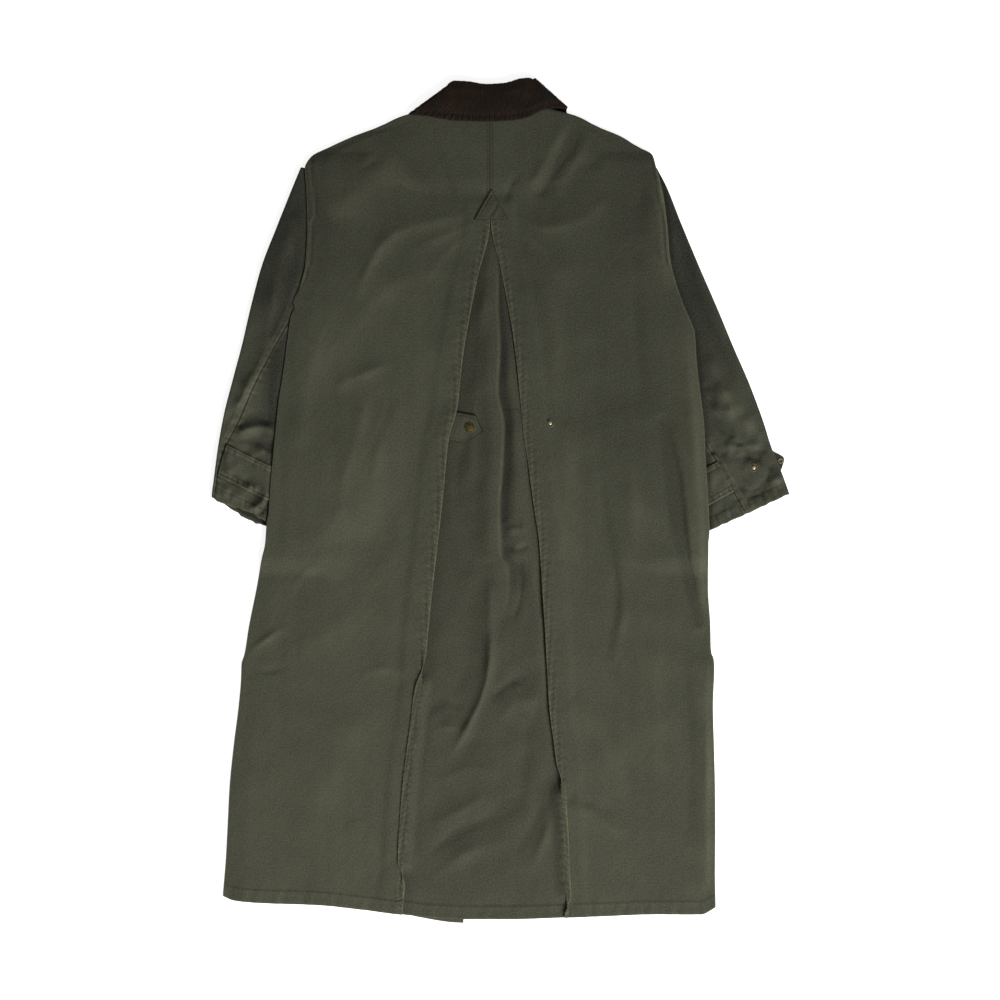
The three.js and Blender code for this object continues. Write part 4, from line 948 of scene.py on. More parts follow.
def underlay_panel():
    """The underlay between and beneath the lips: columns even between the lips and close at its sharp fold.

    Where a lip has turned over, the underlay rises to its stitching and ends beside it.
    """
    v = levels(HEM_LEVEL, UNDERLAY_TOP, 3.4, HEM_STEPS, TOP_STEPS)[:, None]
    left = curve(left_hinge, "y", "x", v)
    right = curve(right_hinge, "y", "x", v)
    fold = curve(fold_line, "y", "x", v)
    turned = {-1: ease(2 * curve(left_turn, "y", "turns", v) - 1), 1: ease(2 * curve(right_turn, "y", "turns", v) - 1)}
    near = np.array([-7, -5, -3.6, -2.6, -1.8, -1.1, -0.5, 0, 0.5, 1.1, 1.8, 2.6, 3.6, 5, 7])
    tuck = np.array([20, 19.7, 19, 16, 12, 8, 4, 2])
    start = left + 2.4 * turned[-1]
    end = right - 2.4 * turned[1]
    first = [lerp(left - t, left + 2.2 * (1 - t / 20), turned[-1]) for t in tuck]
    first += [lerp(start, fold - 7, t) for t in np.linspace(0, 1, 32)[:-1]]
    last = [lerp(fold + 7, end, t) for t in np.linspace(0, 1, 30)[1:]]
    last += [lerp(right + t, right - 2.2 * (1 - t / 20), turned[1]) for t in tuck[::-1]]
    x = np.concatenate(first + [fold + n for n in near] + last, axis=1)
    y = follow_hem(x, v, back_hem)
    above = (v - HEM_LEVEL) * np.ones_like(x)
    half = hem_layers(above)
    hem_fade = ease((above - 2) / 40)
    z = lerp(INNER_LIFT, underlay_height(x, v), hem_fade) + half + hem_waves(x, above, 41) * 0.7
    bend = LIP_RADIUS + LIP_HALF
    seam = np.zeros_like(x)
    wear = np.zeros_like(x)
    for side, line in ((-1, left), (1, right)):
        inward = np.maximum(-side * (x - line), 0)
        here = turned[side] * (side * (x - fold) > 0)
        round_off = bend - np.sqrt(bend ** 2 - np.minimum(inward, bend) ** 2)
        thin = np.clip(0.05 + 0.5 * round_off + 0.25 * np.maximum(inward - bend, 0), 0, half)
        ladder, slow = lip_puckers(v, 0 * x, side)
        goal = lip_top(v, side) + 0.12 - thin + (ladder + slow) * np.exp(-((inward / 7) ** 2))
        z = z + here * np.maximum(goal - z, 0) * ease(1 - inward / 20)
        half = lerp(half, thin, here)
        # Painted highlights on the crests and painted shade in the troughs of the turned lip's puckers
        wear += here * 0.9 * np.clip(ladder, 0, 1) * np.exp(-((inward / 6) ** 2))
        seam += here * 1.1 * np.clip(-ladder, 0, 1) * np.exp(-((inward / 6) ** 2))
    side_edge = np.cumsum(np.hypot(np.diff(x, axis=1, prepend=x[:, :1]), np.diff(z, axis=1, prepend=z[:, :1])), axis=1)
    side_edge = np.minimum(side_edge, side_edge[:, -1:] - side_edge)
    ends = np.minimum(above, UNDERLAY_TOP - v)
    half = half * edge_half(side_edge, 1, EDGE_ROUND) * edge_half(ends, 1, EDGE_ROUND)
    away = np.minimum(x - left, right - x)
    # Painted light and shade of the pleat: darker towards the top, where the underlay lies recessed and its dye is
    # least faded; a painted shadow in the valley right of the sharp fold and beside the lips; painted light on the
    # slope and beside the crest; darker in the hollows of its soft folds
    recess_shade_and_dye = ease((v + 330) / 620)
    valley_shade = np.exp(-(((x - fold - 10) / 7) ** 2)) * (x > fold) * curve(fold_line, "y", "slope", v) / 3.4
    beside = np.exp(-(((right - LIP - x) / 5) ** 2)) * (1 - turned[1]) + 0.4 * np.exp(-((away / 10) ** 2))
    lit = np.exp(-(((x - fold - 33) / 14) ** 2)) * curve(fold_line, "y", "slope", v) / 3.4
    lit = 0.4 * lit + 0.25 * np.exp(-(((x - fold + 12) / 13) ** 2)) * curve(fold_line, "y", "crest", v) / 3.4
    shade = 0.86 - 0.42 * recess_shade_and_dye - 0.7 * valley_shade + lit - 0.4 * beside + 0.07 * underlay_soft(x, v)
    crest = curve(fold_line, "y", "crest", v) / 3.4
    # Wear of the hem, and a painted highlight along the sharp fold's crest
    wear += hem_marks(above) + 0.5 * crest * np.exp(-(((x - fold + 1.2) / 1.8) ** 2))
    # Painted shadow just right of the crest
    crest_shadow = 0.45 * crest * np.exp(-(((x - fold - 3.2) / 2.2) ** 2)) * ease((v + 60) / 80)
    across_seam = np.exp(-(((v - 137) / 1.1) ** 2)) * (x > fold + 2)
    z = z - 0.3 * across_seam
    marks = {"wear": wear, "seam": seam + hem_seam(above) + 0.7 * across_seam + crest_shadow, "fade_and_shade": shade}
    return cloth_mesh("pleat_underlay_cloth", np.stack([x, y, z], -1), half, np.stack([x, y], -1) * MM, marks)


# Sleeves and straps


def outside_body(x, y, side):
    """Distance past the body's edge, where the sleeve comes into view."""
    return side * (x - curve(edge_of(side), "y", "x", y))


def sleeve_puff(x, y, side):
    """Height that the sleeve's upper face stands up where it isn't under the body."""
    folds = left_sleeve_folds if side < 0 else right_sleeve_folds
    shown = ease(outside_body(x, y, side) / 7)
    low = ease((150 - y) / 60)
    soft = (3.0 + relief(x, y, folds, 15, 2.3) + ripples(x, y, 16 + side, 40, 110, 0.4)
            + lerp(0.1, 0.4, low) * ripples(x, y, 18, 14, 40, 1.0))
    return shown * np.maximum(soft, -0.3)


def sleeve_sections(side):
    rows = left_sleeve if side < 0 else right_sleeve
    rows = dict(rows, t=np.arange(len(rows["seam"]), dtype=float))
    t = np.concatenate([np.linspace(0, 9, 150)[:-1], 9 + levels(0, 1, 0.07, [0, 0.02], [0, 0.005, 0.015, 0.03, 0.07])])
    return {key: curve(rows, "t", key, t)[:, None] for key in rows}


def sleeve_piece(side, part):
    """Top or under sleeve: the upper face from the back seam, round the outer or inner fold, and beneath.

    Each section is a flattened loop: two straight runs joined by a half circle about the fold.
    """
    row = sleeve_sections(side)
    dx = row["inner_x"] - row["outer_x"]
    dy = row["inner_y"] - row["outer_y"]
    width = np.hypot(dx, dy)
    bend = SLEEVE_RADIUS + CLOTH / 2
    seam = np.maximum(row["seam"] * width, 5.0)
    front = FRONT_SEAM * width
    way = -1 if part == "top" else 1
    turn = bend if part == "top" else width - bend
    start = seam + way * GAP / 2
    end = front + way * GAP / 2
    length = np.median(np.abs(turn - start))
    near = np.array([0, 0.15, 0.45, 0.9, 1.8, 3.2]) / length
    upper = levels(0, 1, min(2.7 / length, 0.2), near, [0])
    angles = np.linspace(0, math.pi, 9)[1:-1]
    lower = np.linspace(0, 1, 18)
    run = [lerp(start, turn, t) for t in upper]
    run += [turn + way * SLEEVE_RADIUS * math.sin(a) for a in angles]
    run += [lerp(turn, end, t) for t in lower]
    d = np.concatenate([r * np.ones_like(width) for r in run], axis=1)
    face = np.concatenate([np.ones(len(upper)), np.cos(angles), -np.ones(len(lower))])[None]
    lift = ease(row["lift"]) * STRAP_LIFT
    past_cuff = (row["t"] - 9.0).clip(0)
    low_share = (1 - face) / 2
    spill = (9.5 if side < 0 else 1.5) * np.exp(-(((d / width - 0.42) / 0.2) ** 2)) * low_share * past_cuff ** 2
    wave = pucker(d, 50 + side, 21.0) * past_cuff ** 3 * (1.3 if side < 0 else 0.7)
    opening = np.exp(-(((d / width - 0.42) / 0.2) ** 2)) * past_cuff ** 2 * (side < 0)
    spill = spill * 0.6 - 6.0 * opening * (1 - low_share)
    x = row["outer_x"] + dx * d / width - (dy / width) * side * (spill + wave)
    y = row["outer_y"] + dy * d / width - np.abs(dx / width) * (spill + wave)
    up_share = ease((face + 0.2) / 1.2)
    seam_away = np.abs(d - seam)
    groove = -0.3 * np.exp(-((seam_away / 1.8) ** 2)) * up_share
    strip = 0.8 * np.exp(-(((seam_away - 6) / 5) ** 2)) * (1 if part == "top" else 0) * up_share
    outer_x, outer_y = row["outer_x"], row["outer_y"]
    along = np.cumsum(np.hypot(np.diff(outer_x, axis=0, prepend=outer_x[:1]),
                               np.diff(outer_y, axis=0, prepend=outer_y[:1])), axis=0)
    pucks = 0.8 * pucker(along * np.ones_like(d), 60 + side, 12.0) * np.exp(-((seam_away / 8) ** 2)) * up_share
    shown = ease((outside_body(x, y, side) - 1) / 10)
    to_cuff = along[-1] - along
    cuff_half = lerp(CLOTH / 2, HEM_HALF, ease((18.5 - to_cuff) / 1.4)) * np.ones_like(d)
    cuff_line = -0.4 * np.exp(-(((to_cuff - 17.5) / 1.8) ** 2)) * up_share
    cuff_wave = 0.8 * pucker(d, 70 + side, 12.5) * np.exp(-(((to_cuff - 17) / 9) ** 2)) * up_share
    relief_z = up_share * sleeve_puff(x, y, side) + shown * (groove + strip + pucks + cuff_line + cuff_wave)
    z = CLOTH / 2 + SLEEVE_RADIUS * (1 + face) + lift + relief_z
    ends = np.minimum(to_cuff, along) * np.ones_like(d)
    column = np.concatenate([[0], np.cumsum(np.abs(np.diff(d[len(d) // 2])))])[None]
    sides = np.minimum(column, column[:, -1:] - column) * np.ones_like(d)
    half = cuff_half * edge_half(ends, 1, EDGE_ROUND) * edge_half(sides, 1, EDGE_ROUND)
    fold_wear = 0.3 * np.exp(-(((face) / 0.7) ** 2)) * shown
    bars = np.clip(pucker(along * np.ones_like(d), 60 + side, 12.0), -1, 1) * np.exp(-(((seam_away - 3) / 6) ** 2))
    bars = bars + np.clip(pucker(d, 70 + side, 12.5), -1, 1) * np.exp(-(((to_cuff - 12) / 8) ** 2))
    # Wear of the fold, the seams and the cuff's edge, with painted highlights on the pucker crests and on the highest
    # folds
    wear = (fold_wear + 0.55 * np.exp(-(((seam_away - 1.8) / 1.2) ** 2)) * up_share
            + 0.4 * np.exp(-(((seam_away - 8.0) / 1.1) ** 2)) * up_share * (part == "top")
            + 0.7 * np.exp(-((to_cuff / 1.6) ** 2)) + up_share * 0.22 * np.clip(bars, 0, 1)
            + 0.12 * np.clip((relief_z - 3.6) / 3, 0, 1))
    rows_of = left_strap if side < 0 else right_strap
    outline = [(rows_of[f"{part}_x"][i], rows_of[f"{part}_y"][i])
               for part, i in (("inner", 0), ("sewn", 0), ("sewn", 2), ("inner", 2))]
    # Painted shadow along the strap's outline
    strap_shadow = np.exp(-((line_distance(x, y, outline)[0] / 3.0) ** 2))
    # Painted shade inside the left cuff's opening
    cuff_inside_shade = 1.2 * np.exp(-(((to_cuff - 6.5) / 3.6) ** 2)) * low_share if side < 0 else 0
    # Stitching lines, with painted shade in the pucker troughs and beside the strap
    seam_and_shade = cuff_inside_shade + up_share * (0.4 * np.clip(-bars, 0, 1) + 0.4 * strap_shadow + 0.8 * np.exp(-((seam_away / 1.3) ** 2)) + 0.6 * np.exp(-(((to_cuff - 17.5) / 1.1) ** 2)))
    # Painted shade: the body's shadow beside its edge, and darker towards the shoulder; on the right sleeve it is
    # weaker, over an even darkening of the whole sleeve
    body_shadow_spread = np.exp(-((np.maximum(outside_body(x, y, side), 0) / 34) ** 2))
    body_edge_shadow = 0.5 * np.exp(-((np.maximum(outside_body(x, y, side), 0) / 16) ** 2))
    shaded = (0.7 * body_shadow_spread * ease((y + 20) / 200) + body_edge_shadow * ease((y + 90) / 60)
              + 0.6 * ease((y - 200) / 160) + 0.4 * ease((y - 90) / 120))
    if side > 0:
        shaded = 0.4 * shaded + 0.42 + 0.1 * ease((y - 120) / 200)
    # Painted light on the raised folds and painted shade in their hollows
    marks = {"wear": wear, "seam": seam_and_shade, "fade_and_shade": 1.05 - shaded + ripples(x, y, 21, 60, 200, 0.04) + 0.05 * (relief_z - 2.5) * shown}
    middle = np.stack([x, y, z], -1)
    name = f"sleeve_{'left' if side < 0 else 'right'}_{part}"
    return cloth_mesh(f"{name}_cloth", middle, half, lengths(middle), marks)


def strap_piece(side):
    """A cuff strap: along the sleeve's upper face, round its inner fold and back beneath it."""
    rows = left_strap if side < 0 else right_strap
    rows = dict(rows, t=np.array([0.0, 0.5, 1.0]))
    a = levels(0, 1, 0.045, [0, 0.006, 0.018, 0.04], [0, 0.006, 0.018, 0.04])[:, None]
    line = {key: curve(rows, "t", key, a) for key in rows}
    inward = np.stack([line["inner_x"] - line["sewn_x"], line["inner_y"] - line["sewn_y"]], -1)
    inward /= np.linalg.norm(inward, axis=-1, keepdims=True)
    upper_z = SLEEVE_HEIGHT + STRAP_LIFT + GAP + STRAP_CLOTH / 2
    lower_z = STRAP_CLOTH / 2
    radius = (upper_z - lower_z) / 2
    back = SLEEVE_RADIUS + CLOTH / 2 - 0.5
    turn_x = line["inner_x"] - inward[..., 0] * back
    turn_y = line["inner_y"] - inward[..., 1] * back
    upper = levels(0, 1, 0.02, [0, 0.001, 0.003, 0.006], [0])
    angles = np.linspace(0, math.pi, 11)[1:-1]
    lower = levels(0, 1, 0.06, [0], [0, 0.002, 0.005, 0.009])
    x = [lerp(line["sewn_x"], turn_x, t) for t in upper]
    y = [lerp(line["sewn_y"], turn_y, t) for t in upper]
    x += [turn_x + inward[..., 0] * radius * math.sin(s) for s in angles]
    y += [turn_y + inward[..., 1] * radius * math.sin(s) for s in angles]
    x += [lerp(turn_x, line["end_x"], t) for t in lower]
    y += [lerp(turn_y, line["end_y"], t) for t in lower]
    x = np.concatenate(x, axis=1)
    y = np.concatenate(y, axis=1)
    face = np.concatenate([np.ones(len(upper)), np.cos(angles), -np.ones(len(lower))])[None]
    z = lerp(lower_z, upper_z, (1 + face) / 2) + np.where(face > 0.9, sleeve_puff(x, y, side), 0)
    across = np.hypot(line["sewn_x"] - line["sewn_x"][0], line["sewn_y"] - line["sewn_y"][0])
    from_side = np.minimum(across, across[-1] - across) * np.ones_like(x)
    seam_groove = -0.25 * np.exp(-(((from_side - 3) / 1.1) ** 2)) - 0.25 * np.exp(-(((from_side - 9) / 1.1) ** 2))
    place = np.hypot(x - x[:, :1], y - y[:, :1])
    ladder = pucker(place, 80 + side, 9.0) * np.exp(-(((from_side - 5) / 4) ** 2))
    wave = 0.5 * ladder
    z = z + (seam_groove + wave) * (face > 0.9) + 0.15
    run = np.cumsum(np.hypot(np.diff(x, axis=1, prepend=x[:, :1]), np.diff(y, axis=1, prepend=y[:, :1])), axis=1)
    ends = np.minimum(run, run[:, -1:] - run)
    half = STRAP_CLOTH / 2 * edge_half(from_side, 1, 0.9) * edge_half(ends, 1, 0.9)
    lines = np.exp(-(((from_side - 3) / 0.9) ** 2)) + np.exp(-(((from_side - 9.5) / 0.9) ** 2))
    # Wear of the sides, the ends and a line between the stitching, with painted highlights on the pucker crests
    wear = (1.0 * np.exp(-((from_side / 1.6) ** 2)) + 0.4 * np.exp(-((ends / 1.6) ** 2))
            + 0.8 * np.exp(-(((from_side - 7.0) / 1.2) ** 2)) + 0.3 * np.clip(ladder, 0, 1))
    # Stitching lines, with painted shade in the pucker troughs
    seam = 0.7 * lines + 0.8 * np.clip(-ladder, 0, 1)
    # Painted light where the sleeve beneath stands up, painted shade on the underside and towards the end
    marks = {"wear": wear, "seam": seam, "fade_and_shade": (0.62 + 0.09 * sleeve_puff(x, y, side)) * (0.35 + 0.65 * (face > 0))
             * (1 - 0.75 * ease((side * x - 404) / 8))}
    middle = np.stack([x, y, z], -1)
    name = "cuff_strap_left" if side < 0 else "cuff_strap_right"
    return cloth_mesh(f"{name}_cloth", middle, half, lengths(middle), marks)


# Collar, patch and tab


def collar_piece(thickness, pitch):
    """The collar: sections from the neck seam up, over and down to its edge, carried round the neck.

    Its outer face is raised in wales that run from the seam to the edge: a rounded wave round the neck.
    """
    rows = dict(collar_stations, t=np.arange(22.0))
    mid_x = (rows["roll_x"] + rows["edge_x"]) / 2
    mid_y = (rows["roll_y"] + rows["edge_y"]) / 2
    turned = np.abs(np.diff(rows["facing"])) * math.pi / 180 * 4.0
    rows["run"] = np.concatenate([[0], np.cumsum(np.hypot(np.diff(mid_x), np.diff(mid_y)) + turned)])
    wales = int(rows["run"][-1] / pitch)
    s = np.linspace(0, wales, 4 * wales + 1)
    t = curve({"run": rows["run"], "t": rows["t"]}, "run", "t", s / wales * rows["run"][-1])
    k = {key: curve(rows, "t", key, t)[:, None] for key in rows if key not in ("t", "run")}
    front_middle = NECK_LIFT + CLOTH / 2
    back_middle = NECK_LIFT + INNER_LIFT + NECK_SPACE + CLOTH / 2
    core = (front_middle + back_middle) / 2
    inner = (back_middle - front_middle) / 2
    outer = core - thickness / 2
    bend = (outer - inner) / 2
    facing = np.radians(k["facing"])
    face_x = k["out_x"] * np.cos(facing)
    face_y = k["out_y"] * np.cos(facing)
    face_z = np.sin(facing)
    up_x = k["roll_x"] - k["seam_x"]
    up_y = k["roll_y"] - k["seam_y"]
    size = np.hypot(up_x, up_y)
    up_x, up_y = up_x / size, up_y / size
    reach = bend + thickness / 2
    roll_x = k["roll_x"] - up_x * reach
    roll_y = k["roll_y"] - up_y * reach
    inside = np.linspace(0, 1, 6)[:-1]
    angles = np.linspace(0, math.pi, 9)
    fall = levels(0, 1, 0.045, [0], [0, 0.004, 0.012, 0.026, 0.05, 0.085, 0.1])[1:]
    x = [lerp(k["seam_x"], roll_x, a) for a in inside]
    y = [lerp(k["seam_y"], roll_y, a) for a in inside]
    off = [np.full_like(roll_x, inner) for _ in inside]
    x += [roll_x + up_x * bend * math.sin(a) for a in angles]
    y += [roll_y + up_y * bend * math.sin(a) for a in angles]
    off += [np.full_like(roll_x, inner + bend * (1 - math.cos(a))) for a in angles]
    x += [lerp(roll_x, k["edge_x"], a) for a in fall]
    y += [lerp(roll_y, k["edge_y"], a) for a in fall]
    off += [np.full_like(roll_x, outer) for _ in fall]
    x, y, off = (np.concatenate(part, axis=1) for part in (x, y, off))
    fall_share = np.concatenate([np.zeros(len(inside) + len(angles)), fall])[None]
    edge_gap = np.hypot(k["edge_x"] - roll_x, k["edge_y"] - roll_y) * (1 - fall_share)
    on_fall = ease(fall_share / 0.2)
    swell = 1.5 * np.sin(math.pi * np.clip(fall_share, 0, 1)) * (k["facing"] > 60)
    bars = pucker(s[:, None] * pitch, 37, 6.8)
    stitch = (-0.6 * np.exp(-(((edge_gap - 8.5) / 1.4) ** 2)) + 0.8 * bars * np.exp(-(((edge_gap - 4) / 4.5) ** 2))) * on_fall
    crease = relief(x, y, [([(38, 583), (56, 594), (72, 599)], 5, 1.6), ([(-80, 612), (-60, 618), (-20, 614)], 8, 0.8),
                           ([(-110, 590), (-70, 600), (-30, 598)], 9, 0.6), ([(0, 612), (30, 616), (50, 608)], 7, 0.9)], 31)
    off = off + (swell + stitch + crease * on_fall * (k["facing"] > 60))
    middle = np.stack([x + face_x * off, y + face_y * off, core + face_z * off], -1)
    wave = 0.5 + 0.5 * np.cos(math.tau * s)[:, None]
    wander = 1 + 0.12 * np.sin(s / 5.3)[:, None]
    breaks = 1 + 0.45 * ripples(x, y, 35, 5, 14, 1.0)
    wale_height = 0.5 * wave * wander * np.clip(breaks, 0, 2)
    half = (thickness / 2 - 0.15 + wale_height) * np.ones_like(x)
    ends = np.minimum(s, wales - s)[:, None] * pitch * np.ones_like(x)
    start_gap = np.concatenate([[0], np.cumsum(np.full(x.shape[1] - 1, 4.0))])[None]
    sides = np.minimum(edge_gap, start_gap)
    half = half * edge_half(ends, 1, 1.2) * edge_half(sides, 1, 1.2)
    wear = (0.35 * np.exp(-((edge_gap / 2.5) ** 2)) + 0.25 * np.exp(-(((edge_gap - 11) / 5) ** 2)) * on_fall) * (k["facing"] > -80)
    # Stitching line, with painted shade in the pucker troughs near the edge
    seam = 0.8 * np.exp(-(((edge_gap - 8.5) / 1.2) ** 2)) + 0.8 * np.clip(-bars, 0, 1) * np.exp(-((edge_gap / 7) ** 2))
    marks = {"wear": wear * np.ones_like(x), "wale": wave * np.ones_like(x), "seam": seam * on_fall}
    return cloth_mesh("collar_cloth", middle, half, lengths(middle), marks)


def panel_top(x, y):
    """Top of the two back panels near the centre."""
    left = back_base(np.minimum(x, CENTRE), y, -1)
    right = back_base(np.maximum(x, CENTRE), y, 1)
    return np.maximum(left, right) + CLOTH + 2.2 + relief(x, y, back_folds, 3, BACK_GAIN) + ripples(x, y, 7, 60, 190, 0.7)


def patch_piece():
    """The triangular patch over the centre-back seam, its edge turned in and stitched."""
    low, high = patch_sides["y"][0], patch_sides["y"][-1]
    v = levels(low, high, 1.4, [0, 0.15, 0.45, 0.9, 1.6], [0, 0.15, 0.45, 0.9, 1.6])[:, None]
    t = levels(0, 1, 0.028, [0, 0.006, 0.018, 0.035], [0, 0.006, 0.018, 0.035])[None]
    left = curve(patch_sides, "y", "left", v)
    right = curve(patch_sides, "y", "right", v)
    x = lerp(left, right, t)
    slant = 0.87
    edge = np.minimum(np.minimum(x - left, right - x) * slant, v - low)
    groove = -0.22 * np.exp(-(((edge - 2.4) / 0.8) ** 2)) - 0.3 * np.exp(-(((v - 444) / 1.1) ** 2)) * (edge > 2)
    wave = 0.12 * pucker(x + v, 90, 7.0) * np.exp(-(((edge - 2) / 3) ** 2))
    swell = 0.25 * ease(edge / 5)
    half = np.full_like(x, CLOTH / 2) * edge_half(np.minimum(edge, high - v), 1, EDGE_ROUND)
    y = v * np.ones_like(x)
    crumple = 0.5 * pucker(x - 0.6 * v, 91, 15.0) * ease(edge / 6)
    z = panel_top(x, y) + GAP + CLOTH / 2 + groove + wave + swell + crumple + 0.1
    wear = 0.5 * np.exp(-(((edge - 2.2) / 0.8) ** 2))
    # Stitching lines, with a painted shadow round the patch's edge
    seam = (0.5 * np.exp(-(((edge - 3.6) / 0.8) ** 2)) + 0.6 * np.exp(-(((v - 444) / 1.2) ** 2)) * (edge > 2)
            + 1.0 * np.exp(-((edge / 1.5) ** 2)))
    marks = {"wear": wear, "seam": seam, "fade_and_shade": fade_and_shade(x, y)}
    return cloth_mesh("pleat_patch_cloth", np.stack([x, y, z], -1), half, np.stack([x, y], -1) * MM, marks)


def tab_piece():
    """The pointed tab: its long edges run from beneath the left lip to the point."""
    rows = dict(tab_sides, t=np.arange(5.0))
    a = levels(0, 4, 0.11, [0, 0.02, 0.05, 0.1], [0, 0.02, 0.05, 0.1])[:, None]
    t = levels(0, 1, 0.03, [0, 0.006, 0.016, 0.035], [0, 0.006, 0.016, 0.035])[None]
    near_x, near_y, far_x, far_y = (curve(rows, "t", key, a) for key in ("near_x", "near_y", "far_x", "far_y"))
    near_x = near_x - 7.5
    x = lerp(near_x, far_x, t)
    y = lerp(near_y, far_y, t)
    outline = [(near_x[0, 0], near_y[0, 0]), (-52.2, 85), (-30, 100.5), (-25.7, 104.2), (-31, 116), (-36, 127.8),
               (near_x[-1, 0], near_y[-1, 0])]
    edge, _, _ = line_distance(x, y, outline)
    groove = -0.25 * np.exp(-(((edge - 2.4) / 0.9) ** 2))
    press = -0.5 * np.exp(-((np.hypot(x - TAB_SNAP[0], y - TAB_SNAP[1]) / 10) ** 2))
    wave = 0.15 * pucker(x + y, 95, 8.0) * np.exp(-(((edge - 2) / 3) ** 2))
    half = np.full_like(x, STRAP_CLOTH / 2) * edge_half(np.minimum(edge, 80), 1, 0.9)
    z = underlay_height(x, y) + CLOTH + GAP + 0.2 + STRAP_CLOTH / 2 + groove + press + wave
    wear = 0.7 * np.exp(-(((edge - 2.6) / 1.0) ** 2))
    # Stitching line, with a painted shadow round the tab's edge
    seam = 0.7 * np.exp(-(((edge - 4.6) / 0.9) ** 2)) + 1.3 * np.exp(-((edge / 2.2) ** 2))
    marks = {"wear": wear, "seam": seam, "fade_and_shade": np.full_like(x, 0.72)}
    return cloth_mesh("pleat_tab_cloth", np.stack([x, y, z], -1), half, np.stack([x, y], -1) * MM, marks)


# Fastenings and stitching


def surface_trees(names):
    """Search trees of named pieces, in order."""
    depsgraph = bpy.context.evaluated_depsgraph_get()
    return {name: BVHTree.FromObject(pieces[name], depsgraph) for name in names}


def touch(trees, allowed, x, y):
    """Where a line straight down first meets a piece, in millimetres, with its facing, if it is an allowed one."""
    met = None
    for name, tree in trees.items():
        place, facing, _, _ = tree.ray_cast(Vector((x * MM, y * MM, 0.08)), Vector((0, 0, -1)))
        if place is not None and (met is None or place.z > met[1].z):
            met = (name, place, facing)
    if met is None or met[0] not in allowed:
        return None
    return np.array(met[1]) / MM, np.array(met[2])


def ring_faces(rings, sides):
    """Faces of a tube of rings with an even number of sides, closed at both ends by strips of quads."""
    index = np.arange(rings * sides).reshape(rings, sides)
    after = np.roll(index, -1, axis=1)
    tube = np.stack([index[:-1], after[:-1], after[1:], index[1:]], -1).reshape(-1, 4)
    steps = np.arange(sides // 2 - 1)
    caps = [np.stack([ring[steps], ring[steps + 1], ring[sides - 2 - steps], ring[sides - 1 - steps]], -1)
            for ring in (index[0][::-1], index[-1])]
    return np.concatenate([tube] + caps)


def turned_piece(name, profile, wear, place, axis):
    """A turned part: a profile of radius and height carried round an axis, closed at its poles."""
    sides = 56
    radius, height = np.array(profile, float).T
    angle = np.arange(sides) * math.tau / sides
    axis = axis / np.linalg.norm(axis)
    first = np.cross(axis, (0.0, 1.0, 0.0))
    first /= np.linalg.norm(first)
    second = np.cross(axis, first)
    ring = np.cos(angle)[:, None] * first + np.sin(angle)[:, None] * second
    points = (place + radius[:, None, None] * ring[None] + height[:, None, None] * axis).reshape(-1, 3) * MM
    uv = np.stack([np.tile(angle * 0.005, len(radius)), np.repeat(height * MM, sides)], -1)
    marks = {"wear": np.repeat(np.array(wear, float), sides)}
    return grid_object(name, points, ring_faces(len(radius), sides), uv, marks)


def cap_profile(radius):
    """Snap cap: a rolled rim, a narrow channel inside it and a low dome, with the wear of each ring."""
    turns = np.linspace(0.25, math.pi - 0.35, 9)
    rises = np.linspace(0, 1.5, 9)
    rim = [(radius - 0.9 + 0.9 * math.sin(a), 0.9 - 0.9 * math.cos(a)) for a in turns]
    dome = [(0.74 * radius * math.cos(a), 1.15 + 0.95 * math.sin(a)) for a in rises]
    wear = [0, 0] + [0.6] * len(turns) + [0] + list(0.25 + 0.45 * rises)
    return [(0.5, 0), (radius - 1.2, 0)] + rim + [(0.8 * radius, 1.2)] + dome, wear


def stud_profile(radius):
    """Snap stud: a flanged ring with a hollow inside it and a rounded post in the middle."""
    turns = np.linspace(0.3, math.pi - 0.2, 8)
    ring = [(radius - 0.7 + 0.7 * math.sin(a), 0.7 - 0.7 * math.cos(a)) for a in turns]
    post = [(0.42 * radius, 1.0), (0.36 * radius, 1.9), (0.43 * radius, 2.3), (0.44 * radius, 2.6),
            (0.38 * radius, 2.95), (0.22 * radius, 3.15), (0.04 * radius, 3.2)]
    wear = [0, 0] + [0.3, 0.6, 0.9, 1, 1, 0.7, 0.3, 0] + [0, 0] + [0, 0, 0.3, 0.9, 1, 1, 1]
    return [(0.4, 0), (radius - 1, 0)] + ring + [(0.82 * radius, 0.95), (0.50 * radius, 0.75)] + post, wear


def socket_profile(radius):
    """Snap socket: a ring with a sunk middle."""
    turns = np.linspace(0.3, math.pi, 8)
    ring = [(radius - 0.6 + 0.6 * math.sin(a), 0.6 - 0.6 * math.cos(a)) for a in turns]
    wear = [0, 0] + [0.7] * len(turns) + [0.3, 0, 0]
    return [(0.3, 0), (radius - 0.9, 0)] + ring + [(0.62 * radius, 0.95), (0.5 * radius, 0.45), (0.06, 0.4)], wear


def stitch_row(points, pitch, wander, rng):
    """Even places along a bent line, each with the line's heading, moved a little from side to side."""
    points = np.array(points, float)
    places = np.concatenate([[0], np.cumsum(np.hypot(*np.diff(points, axis=0).T))])
    at = np.arange(0.5 * pitch, places[-1], pitch)
    at = at + rng.uniform(-0.06, 0.06, len(at)) * pitch
    x, y = (np.interp(at, places, points[:, i]) for i in (0, 1))
    ahead_x, ahead_y = (np.interp(at + 1, places, points[:, i]) - np.interp(at - 1, places, points[:, i])
                        for i in (0, 1))
    heading = np.arctan2(ahead_y, ahead_x)
    side = rng.uniform(-wander, wander, len(at))
    return np.stack([x - np.sin(heading) * side, y + np.cos(heading) * side, heading], -1)


STITCH_SIDES = 6


